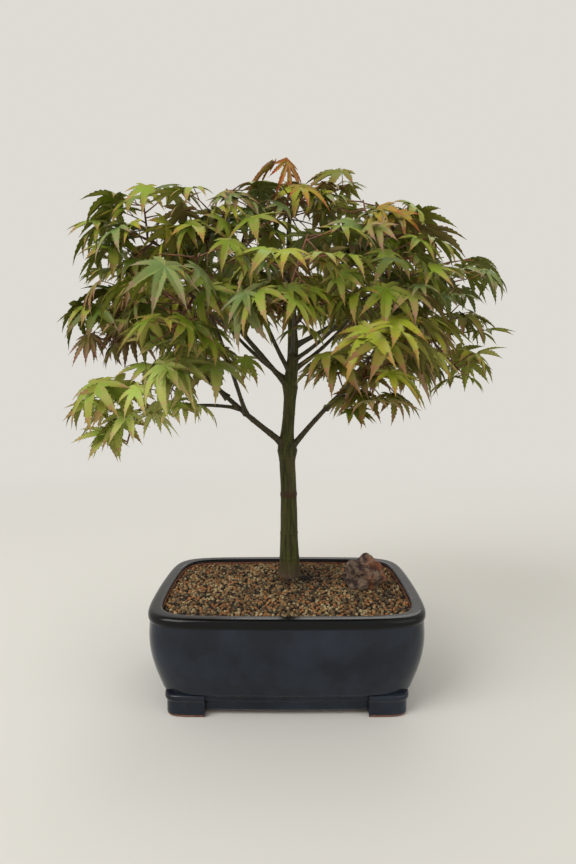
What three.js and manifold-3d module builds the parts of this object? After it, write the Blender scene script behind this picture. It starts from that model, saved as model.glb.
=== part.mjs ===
// Bonsai maple in its pot: a clear trunk, slender boughs and a broad, flat-topped crown of
// palmate leaves, in a rounded oblong pot of glazed stoneware with a gravel bed and one rock.
// Millimetres, +Z up. The origin is on the ground under the middle of the pot, and -Y is the
// front. The pot was taken as 254 mm wide, and the other sizes follow from it.
import * as THREE from 'three';
import { mergeVertices } from 'three/addons/utils/BufferGeometryUtils.js';
import Module from 'manifold-3d';

const wasm = await Module();
wasm.setup();

// Clearance between pieces that touch, and the distance within which corners are one
const GAP = 0.3;
const MERGE_DISTANCE = 1e-4;

// Pot: half sizes at the rim, height and thickness
const POT_HALF_WIDTH = 127;
const POT_HALF_DEPTH = 95;
const POT_HEIGHT = 93;
const RIM_WIDTH = 12;
const POT_SIDES = 32;
// How square the plan is, and how much its corners fall back behind the bowed sides
const POT_SQUARENESS = 8;
const POT_BOW = 0.035;
// Outside of the pot from its base to its rim: distance in from the rim, and height
const BASE_HEIGHT = 4;
const POT_OUTSIDE = [
  [19, BASE_HEIGHT], [16.8, 6], [16.8, 13], [14.6, 14.5], [14.6, 19], [10.6, 21], [8.6, 28],
  [4.8, 40], [1.6, 54], [0.3, 68], [1.2, 84], [0, 86.5], [0, 90.5], [2.2, POT_HEIGHT],
];
// Inside of the pot from its rim to its floor
const FLOOR_HEIGHT = 13;
const POT_INSIDE = [
  [RIM_WIDTH - 1.4, POT_HEIGHT], [RIM_WIDTH, POT_HEIGHT - 1.6], [RIM_WIDTH + 0.4, 60],
  [18, 34], [30, FLOOR_HEIGHT],
];
// Corner feet: plan half sizes, squareness, length along each side, and their outline
const FOOT_HALF_WIDTH = 109;
const FOOT_HALF_DEPTH = 82.5;
const FOOT_SQUARENESS = 16;
const FOOT_LENGTH = 37;
const FOOT_OUTSIDE = [[3, 0], [1.4, 2], [1.4, 14], [0, 15.5], [0, 20]];
const DRAIN_RADIUS = 7;
const DRAIN_SIDES = 10;
const DRAIN_SPACING = 110;

// Gravel bed: its height at the wall and on the flat top of the mound round the trunk
const BED_EDGE_HEIGHT = 86;
const BED_TOP_HEIGHT = 89.5;
const MOUND_RADIUS = 17;
const BED_RINGS = 3;
const WALL_CLEARANCE = 0.45;

// Rock at the right rear: centre, half sizes, depth of its hollows, and the waves that make
// them, each with its pace along X, Y and Z, its shift and its share
const ROCK_CENTRE = [77.5, 6, 101];
const ROCK_HALF_SIZE = [19.5, 18, 17.5];
const ROCK_DETAIL = 2;
const ROCK_ROUGHNESS = 0.16;
const ROCK_WAVES = [
  [[5.1, -4.3, 0], 2.47, 0.5], [[5.1, 4.3, 0], 0.13, 0.5],
  [[2.7, 0, 6.2], 0, 0.7], [[0, 9.1, 7.7], 0, 0.35],
];

// Trunk: where it stands, the points its axis passes, and its radius by height
const TRUNK_FOOT = [2.5, 32, BED_TOP_HEIGHT + GAP];
const TRUNK_AXIS = [
  [1.6, 31, 178], [0, 30, 228], [2.5, 29.5, 270], [5, 29, 305], [5.5, 28, 345], [2, 25, 434],
];
const TRUNK_RADII = [
  [0, 12.6], [6, 11.2], [18, 10.3], [40, 9.3], [80, 8.3], [122, 8.2], [133, 9.4], [146, 6.9],
  [170, 6.2], [188, 6.3], [199, 7.1], [211, 5.7], [262, 4.4], [346, 2.7],
];
const TRUNK_SIDES = 12;

// Boughs: name, carrier, distance along the carrier, tip, root and tip radius, and how far
// the middle of the limb bends off the straight line
const BOUGH_SIDES = 6;
const BOUGH_STEPS = 4;
const BOUGHS = [
  ['bough_low_left', 'trunk', 138, [-78, 0, 297], [3.1, 1.8], [-5, 2, 0]],
  ['bough_low_left_outer', 'bough_low_left', 64, [-102, 6, 270], [1.8, 1.3], [0, 0, 4]],
  ['bough_left', 'bough_low_left', 80, [-98, 2, 334], [2.1, 1.5], [-4, 0, -6]],
  ['bough_front_left', 'bough_low_left', 56, [-60, -64, 338], [2, 1.4], [3, -4, -6]],
  ['bough_low_right', 'trunk', 131, [88, 12, 314], [2.8, 1.6], [0, 2, 9]],
  ['bough_front_right', 'bough_low_right', 62, [58, -42, 294], [2, 1.4], [4, 4, -3]],
  ['bough_upper_left', 'trunk', 197, [-86, 20, 394], [2.8, 1.6], [-6, 0, 4]],
  ['bough_top_left', 'trunk', 211, [-34, 2, 390], [2.2, 1.5], [-5, -5, -4]],
  ['bough_rear_left', 'trunk', 204, [-60, 64, 350], [2.4, 1.5], [-4, 4, -4]],
  ['bough_rear_right', 'trunk', 216, [62, 64, 356], [2.4, 1.5], [4, 4, -4]],
  ['bough_right_shoulder', 'trunk', 240, [84, 14, 376], [2.4, 1.5], [2, 0, -3]],
  ['bough_front', 'trunk', 234, [6, -50, 346], [2.1, 1.4], [0, -2, -5]],
  ['bough_mid_right', 'trunk', 226, [52, -26, 352], [2.2, 1.4], [3, -3, -4]],
  ['bough_rear', 'trunk', 256, [-2, 66, 382], [2.1, 1.4], [0, 4, -4]],
  ['bough_top_right', 'trunk', 262, [42, 4, 392], [2.1, 1.4], [3, -3, -3]],
];
// A bough is stouter where it leaves its carrier
const COLLAR_SWELL = 1.25;
const COLLAR_SHARE = 0.16;

// Masses of foliage: each fills its own share of a flattened ball, fed by one limb
const FLATNESS = 0.78;
const MASSES = [
  { name: 'foliage_low_left', limb: 'bough_low_left_outer', centre: [-149, -4, 266], reach: 78 },
  { name: 'foliage_low_left_inner', limb: 'bough_low_left', centre: [-92, -42, 300], reach: 74 },
  { name: 'foliage_left', limb: 'bough_left', centre: [-140, -18, 348], reach: 76 },
  { name: 'foliage_upper_left', limb: 'bough_upper_left', centre: [-142, 14, 431], reach: 80 },
  { name: 'foliage_top_left', limb: 'bough_top_left', centre: [-62, -26, 434], reach: 74 },
  { name: 'foliage_crown', limb: 'trunk', centre: [8, 26, 477], reach: 76 },
  { name: 'foliage_top_right', limb: 'bough_top_right', centre: [80, -18, 430], reach: 78 },
  {
    name: 'foliage_right_shoulder', limb: 'bough_right_shoulder', centre: [141, 10, 402], reach: 80,
  },
  { name: 'foliage_right', limb: 'bough_low_right', centre: [147, -4, 334], reach: 78 },
  { name: 'foliage_front_left', limb: 'bough_front_left', centre: [-76, -104, 356], reach: 80 },
  { name: 'foliage_front', limb: 'bough_front', centre: [2, -100, 368], reach: 80 },
  { name: 'foliage_mid_right', limb: 'bough_mid_right', centre: [84, -76, 372], reach: 76 },
  { name: 'foliage_front_right', limb: 'bough_front_right', centre: [70, -98, 314], reach: 80 },
  { name: 'foliage_rear_left', limb: 'bough_rear_left', centre: [-108, 92, 364], reach: 84 },
  { name: 'foliage_rear', limb: 'bough_rear', centre: [0, 100, 402], reach: 84 },
  { name: 'foliage_rear_right', limb: 'bough_rear_right', centre: [108, 92, 360], reach: 84 },
];

// Leaf: length of the middle lobe, and the other lobes and the notches between them on each
// side as angle and share of that length
const LEAF_LENGTH = 53;
const LEAF_LOBES = [[41, 0.9], [84, 0.66]];
const LEAF_NOTCHES = [[20, 0.4], [62, 0.36]];
const LEAF_THICKNESS = 1.5;
const LOBE_DROOP = 0.2;
// Its stalk: length, how far behind the middle of the blade it ends, and its thickness there
// and at the twig
const STALK_LENGTH = 17;
const STALK_SEAT = 2;
const STALK_HALF_WIDTH = 1.1;
const STALK_ROOT_RADIUS = 0.8;
// Stem of a mass: how far it runs past the middle as a share of the reach, how far it first
// keeps the direction of its limb as a share of its length, and where its rings are
const STEM_PAST_CENTRE = 0.25;
const STEM_KNEE = 0.45;
const STEM_STOPS = [0, 0.33, 0.67, 1];
// Shoots in opposite pairs: the first pair's place on the stem, the stretch over which the
// pairs are dealt, the step between the two of a pair, and the turn from pair to pair
const SHOOTS = 4;
const FIRST_PAIR = 0.3;
const PAIR_STRETCH = 0.8;
const PAIR_STAGGER = 0.08;
const PAIR_TWIST = 1.2;
const TWIST_SPREAD = 0.4;
const SHOOT_LEAN = [0.3, 0.9];
// Length as a share of the reach, cut back by a ratio until the shoot is clear, and radii
const SHOOT_SHARE = 0.5;
const SHOOT_SPREAD = [0.85, 1.15];
const SHOOT_CUTBACK = 0.85;
const SHORTEST_SHOOT = 12;
const SHOOT_RADIUS = 1.2;
const TWIG_RADIUS = 0.95;
// Leaves at the tip of a shoot or stem: distance back, side and turn in degrees; leaves
// further back: share of the length, side and turn
const SHOOT_TIP_JOINTS = [[2, 1], [6, -1]];
const SHOOT_TIP_TURN = [20, 45];
const SHOOT_JOINTS = [[0.56, 1], [0.44, -1]];
const SHOOT_TURN = [50, 90];
const STEM_TIP_TURN = [10, 35];
const STEM_JOINTS = [[0.62, 1], [0.55, -1]];
const STEM_TURN = [60, 100];
// How a leaf stands: lift of its stalk, hang and roll of its blade in degrees
const STALK_LIFT = [0.1, 0.5];
const STALK_SPREAD = [0.75, 1.25];
const LEAF_HANG = [15, 60];
const LEAF_ROLL = [-22, 22];
// Room kept inside a mass's space by shoot tips, twigs, leaf roots and leaf edges
const TIP_MARGIN = 14;
const TWIG_MARGIN = 1.8;
const LEAF_ROOT_MARGIN = 1.5;
const LEAF_EDGE_MARGIN = 0.5;
// Room kept to limbs by twigs and leaves, which are tested against a bead every few
// millimetres of limb
const TWIG_PAD = 2;
const LEAF_PAD = 3.2;
const BEAD_SPACING = 3;
const TWIG_TEST_SPACING = 2;
const LEAF_TEST_STEPS = 6;
// Most that a stalk's root fills of its twig, in cubic millimetres: a leaf that cuts a twig
// elsewhere fills more
const JOINT_VOLUME = 2.4;
// Leaf sizes, drops and turns that are tried in order where a leaf finds no room
const LEAF_SIZES = [1, 0.85, 0.72];
const LEAF_DROPS = [0, -25, 20];
const LEAF_TURNS = [0, 25, -25, 50, -50, 80, -80];
const LEAF_TRIES = LEAF_SIZES.flatMap((size) => LEAF_DROPS.flatMap(
  (drop) => LEAF_TURNS.map((aside) => [size, aside, drop]),
));
// Seeded dice: the first mass's seed, the step to the next, and the numbers that roll them
const FIRST_SEED = 101;
const SEED_STEP = 37;
const DICE_FACTOR = 1664525;
const DICE_SHIFT = 1013904223;
const DICE_RANGE = 2 ** 32;
const TWIG_SIDES = 3;
const FRAME_STEPS = 200;
const UP = new THREE.Vector3(0, 0, 1);

// Materials
const GLAZE = { color: 0x2b323b, roughness: 0.16, metalness: 0 };
const GRAVEL = { color: 0x8a745c, roughness: 0.95, metalness: 0 };
const ROCK = { color: 0x6d5a50, roughness: 0.95, metalness: 0 };
const TRUNK_BARK = { color: 0x4c5426, roughness: 0.7, metalness: 0 };
const BOUGH_BARK = { color: 0x3a3424, roughness: 0.8, metalness: 0 };
const LEAF_GREENS = [0x5f7d2c, 0x7d8f33, 0x4b6a2a, 0x869040];
const LEAF_FINISH = { roughness: 0.6, metalness: 0 };

const tree = new THREE.Group();

function addPart(name, geometry, finish) {
  const mesh = new THREE.Mesh(geometry, new THREE.MeshStandardMaterial(finish));
  mesh.name = name;
  tree.add(mesh);
}

// Solid from a closed geometry, and geometry from a solid
function solidOf(geometry) {
  const bare = geometry.clone();
  bare.deleteAttribute('normal');
  bare.deleteAttribute('uv');
  const merged = mergeVertices(bare, MERGE_DISTANCE);
  const vertProperties = new Float32Array(merged.attributes.position.array);
  const triVerts = new Uint32Array(merged.index.array);
  return new wasm.Manifold(new wasm.Mesh({ numProp: 3, vertProperties, triVerts }));
}

function geometryOf(solid) {
  const mesh = solid.getMesh();
  const geometry = new THREE.BufferGeometry();
  geometry.setAttribute('position', new THREE.BufferAttribute(mesh.vertProperties, 3));
  geometry.setIndex(new THREE.BufferAttribute(mesh.triVerts, 1));
  geometry.computeVertexNormals();
  return geometry;
}

// Closed skin over rings of points that run anticlockwise seen from the last ring's side
function skinOf(rings) {
  const sides = rings[0].length;
  const last = (rings.length - 1) * sides;
  const faces = [];
  for (let ring = 0; ring < rings.length - 1; ring += 1) {
    for (let side = 0; side < sides; side += 1) {
      const next = (side + 1) % sides;
      const low = ring * sides;
      const high = low + sides;
      faces.push(low + side, low + next, high + next, low + side, high + next, high + side);
    }
  }
  for (let side = 1; side < sides - 1; side += 1) {
    faces.push(0, side + 1, side, last, last + side, last + side + 1);
  }
  const geometry = new THREE.BufferGeometry();
  const positions = rings.flat().flatMap((point) => point.toArray());
  geometry.setAttribute('position', new THREE.Float32BufferAttribute(positions, 3));
  geometry.setIndex(faces);
  return geometry;
}

// Plan of the pot: a rounded oblong whose sides bow out, at one height
function planRing(halfWidth, halfDepth, squareness, bow, height) {
  const ring = [];
  for (let side = 0; side < POT_SIDES; side += 1) {
    const angle = (side / POT_SIDES) * 2 * Math.PI;
    const c = Math.cos(angle);
    const s = Math.sin(angle);
    const x = Math.sign(c) * Math.abs(c) ** (2 / squareness);
    const y = Math.sign(s) * Math.abs(s) ** (2 / squareness);
    ring.push(new THREE.Vector3(
      halfWidth * x * (1 - bow * y * y),
      halfDepth * y * (1 - bow * x * x),
      height,
    ));
  }
  return ring;
}

function potRing([inset, height]) {
  return planRing(POT_HALF_WIDTH - inset, POT_HALF_DEPTH - inset, POT_SQUARENESS, POT_BOW, height);
}

// Pot with its plinth, corner feet and drain holes, fired in one piece
function makePot() {
  let pot = solidOf(skinOf([...POT_OUTSIDE, ...POT_INSIDE].map(potRing)));
  const footRings = FOOT_OUTSIDE.map(([inset, height]) => planRing(
    FOOT_HALF_WIDTH - inset, FOOT_HALF_DEPTH - inset, FOOT_SQUARENESS, 0, height,
  ));
  const footBlock = solidOf(skinOf(footRings));
  const footHeight = FOOT_OUTSIDE[FOOT_OUTSIDE.length - 1][1];
  const corner = new THREE.BoxGeometry(FOOT_LENGTH * 2, FOOT_LENGTH * 2, footHeight * 3);
  for (const sideX of [-1, 1]) {
    for (const sideY of [-1, 1]) {
      const place = corner.clone().translate(
        sideX * FOOT_HALF_WIDTH, sideY * FOOT_HALF_DEPTH, 0,
      );
      pot = pot.add(footBlock.intersect(solidOf(place)));
    }
  }
  const cavity = solidOf(skinOf([...POT_INSIDE].reverse().map(potRing)));
  pot = pot.subtract(cavity);
  const drainLength = FLOOR_HEIGHT * 4;
  const drain = new THREE.CylinderGeometry(DRAIN_RADIUS, DRAIN_RADIUS, drainLength, DRAIN_SIDES);
  drain.rotateX(Math.PI / 2);
  for (const side of [-1, 1]) {
    pot = pot.subtract(solidOf(drain.clone().translate((side * DRAIN_SPACING) / 2, 0, 0)));
  }
  return pot;
}

// Gravel bed: fills the pot and rises to a flat-topped mound round the trunk
function makeBed(topLift) {
  const rings = [...POT_INSIDE].reverse()
    .filter(([, height]) => height < BED_EDGE_HEIGHT)
    .map(([inset, height]) => potRing([inset + WALL_CLEARANCE, height + GAP]));
  rings.push(potRing([RIM_WIDTH + WALL_CLEARANCE, BED_EDGE_HEIGHT + topLift]));
  const edge = rings[rings.length - 1];
  for (let ring = 1; ring <= BED_RINGS; ring += 1) {
    const share = ring / BED_RINGS;
    const rise = (BED_TOP_HEIGHT - BED_EDGE_HEIGHT) * Math.sin((share * Math.PI) / 2);
    rings.push(edge.map((point) => {
      const outward = Math.atan2(point.y, point.x);
      const inner = new THREE.Vector3(
        TRUNK_FOOT[0] + MOUND_RADIUS * Math.cos(outward),
        TRUNK_FOOT[1] + MOUND_RADIUS * Math.sin(outward),
        point.z,
      );
      return point.clone().lerp(inner, share).setZ(point.z + rise);
    }));
  }
  return solidOf(skinOf(rings));
}

// Rough lump of lava rock, cut where it sits in the gravel
function makeRock() {
  const lump = new THREE.IcosahedronGeometry(1, ROCK_DETAIL);
  lump.deleteAttribute('normal');
  lump.deleteAttribute('uv');
  const merged = mergeVertices(lump, MERGE_DISTANCE);
  const points = merged.attributes.position;
  for (let index = 0; index < points.count; index += 1) {
    const point = new THREE.Vector3().fromBufferAttribute(points, index);
    const wave = ROCK_WAVES.reduce((sum, [pace, shift, share]) => sum
      + share * Math.sin(point.dot(new THREE.Vector3(...pace)) + shift), 0);
    point.multiplyScalar(1 + ROCK_ROUGHNESS * wave);
    points.setXYZ(
      index,
      ROCK_CENTRE[0] + point.x * ROCK_HALF_SIZE[0],
      ROCK_CENTRE[1] + point.y * ROCK_HALF_SIZE[1],
      ROCK_CENTRE[2] + point.z * ROCK_HALF_SIZE[2],
    );
  }
  return solidOf(merged).subtract(makeBed(GAP));
}

// Radius at a distance along a limb, from a list of distance and radius
function radiusAlong(table, distance) {
  for (let row = 1; row < table.length; row += 1) {
    const [start, first] = table[row - 1];
    const [end, second] = table[row];
    if (distance <= end) {
      return first + ((second - first) * (distance - start)) / (end - start);
    }
  }
  return table[table.length - 1][1];
}

// Closed tapering limb round a curve
function limbGeometry(curve, table, stops, sides, extra) {
  const length = curve.getLength();
  const frames = curve.computeFrenetFrames(FRAME_STEPS, false);
  const rings = stops.map((distance) => {
    const share = Math.min(distance / length, 1);
    const centre = curve.getPointAt(share);
    const frame = Math.round(share * FRAME_STEPS);
    const radius = radiusAlong(table, distance) + extra;
    const ring = [];
    for (let side = 0; side < sides; side += 1) {
      const angle = (side / sides) * 2 * Math.PI;
      ring.push(centre.clone()
        .addScaledVector(frames.normals[frame], radius * Math.cos(angle))
        .addScaledVector(frames.binormals[frame], radius * Math.sin(angle)));
    }
    return ring;
  });
  return skinOf(rings);
}

const limbs = new Map();

function makeTrunk() {
  const points = [TRUNK_FOOT, ...TRUNK_AXIS].map((point) => new THREE.Vector3(...point));
  const curve = new THREE.CatmullRomCurve3(points, false, 'centripetal');
  const length = curve.getLength();
  const stops = TRUNK_RADII.map(([distance]) => Math.min(distance, length));
  const solid = solidOf(limbGeometry(curve, TRUNK_RADII, stops, TRUNK_SIDES, 0));
  const cutter = solidOf(limbGeometry(curve, TRUNK_RADII, stops, TRUNK_SIDES, GAP));
  limbs.set('trunk', { curve, length, table: TRUNK_RADII, solid, cutter });
}

function makeBough([name, on, along, tip, radii, bend]) {
  const carrier = limbs.get(on);
  const root = carrier.curve.getPointAt(along / carrier.length);
  const end = new THREE.Vector3(...tip);
  const middle = root.clone().lerp(end, 0.5).add(new THREE.Vector3(...bend));
  const curve = new THREE.QuadraticBezierCurve3(root, middle, end);
  const length = curve.getLength();
  const table = [
    [0, radii[0] * COLLAR_SWELL], [length * COLLAR_SHARE, radii[0]], [length, radii[1]],
  ];
  const stops = [];
  for (let step = 0; step <= BOUGH_STEPS; step += 1) {
    stops.push((length * step) / BOUGH_STEPS);
  }
  let solid = solidOf(limbGeometry(curve, table, stops, BOUGH_SIDES, 0));
  for (const earlier of limbs.values()) {
    solid = solid.subtract(earlier.cutter);
  }
  const cutter = solidOf(limbGeometry(curve, table, stops, BOUGH_SIDES, GAP));
  limbs.set(name, { curve, length, table, solid, cutter });
}

// Seeded numbers from 0 to 1
function makeDice(seed) {
  let state = seed;
  return () => {
    state = (Math.imul(state, DICE_FACTOR) + DICE_SHIFT) >>> 0;
    return state / DICE_RANGE;
  };
}

// Distance of a point past a mass's own surface, as a power; the smallest one owns the point
function powerOf(point, { centre, reach }) {
  const dx = point.x - centre[0];
  const dy = point.y - centre[1];
  const dz = (point.z - centre[2]) / FLATNESS;
  return dx * dx + dy * dy + dz * dz - reach * reach;
}

function centreDistance(one, other) {
  return Math.hypot(
    one.centre[0] - other.centre[0],
    one.centre[1] - other.centre[1],
    (one.centre[2] - other.centre[2]) / FLATNESS,
  );
}

// A mass's space: inside its ball and on its own side of the plane towards each neighbour
function inSpace(point, mass, margin) {
  const own = powerOf(point, mass);
  if (own > -2 * margin * mass.reach) {
    return false;
  }
  return MASSES.every((other) => other === mass
    || powerOf(point, other) - own > 2 * margin * centreDistance(mass, other));
}

function limbBeads() {
  const beads = [];
  for (const [name, limb] of limbs) {
    const count = Math.ceil(limb.length / BEAD_SPACING);
    for (let index = 0; index <= count; index += 1) {
      const distance = (limb.length * index) / count;
      const centre = limb.curve.getPointAt(index / count);
      beads.push({ name, centre, radius: radiusAlong(limb.table, distance) });
    }
  }
  return beads;
}

function touchesLimb(point, beads, pad, spared) {
  return beads.some((bead) => bead.name !== spared
    && point.distanceToSquared(bead.centre) < (bead.radius + pad) ** 2);
}

// Three-sided twig between two points
function twigSolid(start, end, startRadius, endRadius) {
  const curve = new THREE.LineCurve3(start, end);
  const length = curve.getLength();
  const table = [[0, startRadius], [length, endRadius]];
  return solidOf(limbGeometry(curve, table, [0, length], TWIG_SIDES, 0));
}

function twigIsClear(start, end, mass, beads, spared) {
  const count = Math.ceil(start.distanceTo(end) / TWIG_TEST_SPACING);
  for (let index = 0; index <= count; index += 1) {
    const point = start.clone().lerp(end, index / count);
    if (!inSpace(point, mass, TWIG_MARGIN) || touchesLimb(point, beads, TWIG_PAD, spared)) {
      return false;
    }
  }
  return true;
}

// Leaf outline in its own plane, from one side of the stalk round to the other: the blade
// points along +X and its upper side is +Z
function leafOutline(length) {
  const half = [[0, 1, LOBE_DROOP]];
  LEAF_LOBES.forEach(([angle, share], index) => {
    half.push([LEAF_NOTCHES[index][0], LEAF_NOTCHES[index][1], 0], [angle, share, LOBE_DROOP]);
  });
  const mirrored = half.slice(1).reverse().map(([angle, share, droop]) => [-angle, share, droop]);
  const rim = [...mirrored, ...half].map(([angle, share, droop]) => {
    const radians = THREE.MathUtils.degToRad(angle);
    const radius = length * share;
    return new THREE.Vector3(
      radius * Math.cos(radians), radius * Math.sin(radians), -droop * radius,
    );
  });
  return [
    new THREE.Vector3(-STALK_SEAT, -STALK_HALF_WIDTH, 0),
    ...rim,
    new THREE.Vector3(-STALK_SEAT, STALK_HALF_WIDTH, 0),
  ];
}

// Frame of a leaf that points along a heading, hangs by an angle and is rolled on its axis
function leafFrame(base, heading, hang, roll) {
  const axis = heading.clone().multiplyScalar(Math.cos(hang)).setZ(-Math.sin(hang));
  const side = new THREE.Vector3(0, 0, 1).cross(axis).normalize().applyAxisAngle(axis, roll);
  const up = axis.clone().cross(side);
  return new THREE.Matrix4().makeBasis(axis, side, up).setPosition(base);
}

function leafIsClear(frame, outline, mass, beads) {
  const centre = new THREE.Vector3().applyMatrix4(frame);
  if (!inSpace(centre, mass, LEAF_ROOT_MARGIN)) {
    return false;
  }
  const points = outline.map((point) => point.clone().applyMatrix4(frame));
  return points.every((point, index) => {
    if (!inSpace(point, mass, LEAF_EDGE_MARGIN)) {
      return false;
    }
    const next = points[(index + 1) % points.length];
    for (let step = 0; step <= LEAF_TEST_STEPS; step += 1) {
      const edge = point.clone().lerp(next, step / LEAF_TEST_STEPS);
      for (let inward = 1; inward <= LEAF_TEST_STEPS; inward += 1) {
        const place = centre.clone().lerp(edge, inward / LEAF_TEST_STEPS);
        if (touchesLimb(place, beads, LEAF_PAD, '')) {
          return false;
        }
      }
    }
    return true;
  });
}

// Leaf and stalk in one closed solid: a thin lens over the outline, and a three-sided stalk
// that leaves its underside and ends in the twig
function leafSolid(frame, outline, node) {
  const half = LEAF_THICKNESS / 2;
  const base = new THREE.Vector3().setFromMatrixPosition(frame);
  const side = new THREE.Vector3().setFromMatrixColumn(frame, 1);
  const along = base.clone().sub(node).normalize();
  const under = side.clone().cross(along);
  const blade = [...outline, new THREE.Vector3(0, 0, half), new THREE.Vector3(0, 0, -half)]
    .map((point) => point.applyMatrix4(frame));
  const root = [[1, 0], [-0.5, -0.87], [-0.5, 0.87]].map(([down, out]) => node.clone()
    .addScaledVector(under, STALK_ROOT_RADIUS * down)
    .addScaledVector(side, STALK_ROOT_RADIUS * out));
  const right = 0;
  const left = outline.length - 1;
  const top = outline.length;
  const bottom = top + 1;
  const rootBottom = top + 2;
  const rootRight = top + 3;
  const rootLeft = top + 4;
  const faces = [top, left, right, rootBottom, rootRight, rootLeft];
  for (let index = 0; index < left; index += 1) {
    faces.push(top, index, index + 1, bottom, index + 1, index);
  }
  const walls = [[bottom, right, rootRight, rootBottom], [left, bottom, rootBottom, rootLeft],
    [right, left, rootLeft, rootRight]];
  for (const [a, b, c, d] of walls) {
    faces.push(a, b, c, a, c, d);
  }
  const geometry = new THREE.BufferGeometry();
  const positions = [...blade, ...root].flatMap((point) => point.toArray());
  geometry.setAttribute('position', new THREE.Float32BufferAttribute(positions, 3));
  geometry.setIndex(faces);
  return solidOf(geometry);
}

// One mass: a stem that carries on from its limb, shoots in opposite pairs, and leaves at
// the tips and joints of the shoots
function makeMass(mass, seed, beads) {
  const dice = makeDice(seed);
  const spread = ([low, high]) => low + (high - low) * dice();
  const degrees = (range) => THREE.MathUtils.degToRad(spread(range));
  const centre = new THREE.Vector3(...mass.centre);
  const limb = limbs.get(mass.limb);
  const forward = limb.curve.getTangentAt(1);
  const start = limb.curve.getPointAt(1).addScaledVector(forward, GAP);
  const outward = centre.clone().sub(start).normalize();
  const end = centre.clone().addScaledVector(outward, mass.reach * STEM_PAST_CENTRE);
  const knee = start.clone().addScaledVector(forward, start.distanceTo(end) * STEM_KNEE);
  const stem = new THREE.QuadraticBezierCurve3(start, knee, end);
  const length = stem.getLength();
  const stemTable = [[0, limb.table[limb.table.length - 1][1]], [length, SHOOT_RADIUS]];
  const stops = STEM_STOPS.map((share) => share * length);
  let twigs = solidOf(limbGeometry(stem, stemTable, stops, TWIG_SIDES, 0));
  const joints = [];

  for (let shoot = 0; shoot < SHOOTS; shoot += 1) {
    const pair = Math.floor(shoot / 2);
    const side = shoot % 2 === 0 ? 1 : -1;
    const share = FIRST_PAIR + (PAIR_STRETCH * (pair + PAIR_STAGGER * side)) / (SHOOTS / 2);
    const root = stem.getPointAt(share);
    const axis = stem.getTangentAt(share);
    const across = UP.clone().cross(axis).normalize();
    const twist = (pair % 2) * PAIR_TWIST + spread([-TWIST_SPREAD, TWIST_SPREAD]);
    const aim = across.clone().multiplyScalar(Math.cos(twist) * side)
      .addScaledVector(axis.clone().cross(across), Math.sin(twist) * side)
      .addScaledVector(axis, spread(SHOOT_LEAN)).normalize();
    let reach = mass.reach * SHOOT_SHARE * spread(SHOOT_SPREAD);
    let tip = root.clone().addScaledVector(aim, reach);
    while (reach > SHORTEST_SHOOT
      && !(inSpace(tip, mass, TIP_MARGIN) && twigIsClear(root, tip, mass, beads, mass.limb))) {
      reach *= SHOOT_CUTBACK;
      tip = root.clone().addScaledVector(aim, reach);
    }
    if (reach > SHORTEST_SHOOT) {
      twigs = twigs.add(twigSolid(root, tip, SHOOT_RADIUS, TWIG_RADIUS));
      for (const [back, hand] of SHOOT_TIP_JOINTS) {
        const node = root.clone().lerp(tip, 1 - back / reach);
        joints.push({ node, aim, turn: hand * degrees(SHOOT_TIP_TURN) });
      }
      for (const [place, hand] of SHOOT_JOINTS) {
        const node = root.clone().lerp(tip, place);
        joints.push({ node, aim, turn: hand * degrees(SHOOT_TURN) });
      }
    }
  }
  for (const [back, hand] of SHOOT_TIP_JOINTS) {
    const node = stem.getPointAt(1 - back / length);
    joints.push({ node, aim: outward, turn: hand * degrees(STEM_TIP_TURN) });
  }
  for (const [place, hand] of STEM_JOINTS) {
    const node = stem.getPointAt(place);
    joints.push({ node, aim: outward, turn: hand * degrees(STEM_TURN) });
  }

  const blades = [];
  for (const { node, aim, turn } of joints) {
    const lift = spread(STALK_LIFT);
    const hang = degrees(LEAF_HANG);
    const roll = degrees(LEAF_ROLL);
    const stalk = STALK_LENGTH * spread(STALK_SPREAD);
    const flat = aim.clone().setZ(0).normalize();
    LEAF_TRIES.some(([size, aside, drop]) => {
      const heading = flat.clone().applyAxisAngle(UP, turn + THREE.MathUtils.degToRad(aside));
      const rise = heading.clone().setZ(lift).normalize();
      const base = node.clone().addScaledVector(rise, stalk * size);
      const outline = leafOutline(LEAF_LENGTH * size);
      const frame = leafFrame(base, heading, hang + THREE.MathUtils.degToRad(drop), roll);
      if (!leafIsClear(frame, outline, mass, beads)
        || !twigIsClear(node, base, mass, beads, '')) {
        return false;
      }
      const leaf = leafSolid(frame, outline, node);
      if (blades.some((blade) => !leaf.intersect(blade).isEmpty())
        || leaf.intersect(twigs).volume() > JOINT_VOLUME) {
        return false;
      }
      blades.push(leaf);
      return true;
    });
  }
  return blades.reduce((solid, blade) => solid.add(blade), twigs);
}

addPart('pot', geometryOf(makePot()), GLAZE);
addPart('gravel_bed', geometryOf(makeBed(0)), GRAVEL);
addPart('rock', geometryOf(makeRock()), ROCK);
makeTrunk();
addPart('trunk', geometryOf(limbs.get('trunk').solid), TRUNK_BARK);
for (const bough of BOUGHS) {
  const [name] = bough;
  makeBough(bough);
  addPart(name, geometryOf(limbs.get(name).solid), BOUGH_BARK);
}
const beads = limbBeads();
MASSES.forEach((mass, index) => {
  const solid = makeMass(mass, FIRST_SEED + index * SEED_STEP, beads);
  const color = LEAF_GREENS[index % LEAF_GREENS.length];
  addPart(mass.name, geometryOf(solid), { color, ...LEAF_FINISH });
});

export default tree;
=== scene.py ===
# Bonsai maple in a rounded oblong glazed pot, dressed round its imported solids. Metres, +Z up,
# the front towards -Y, and the origin on the ground under the middle of the pot.
import math
from collections import namedtuple
from functools import partial

import bmesh
import bpy
import numpy as np
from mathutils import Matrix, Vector, noise


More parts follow.
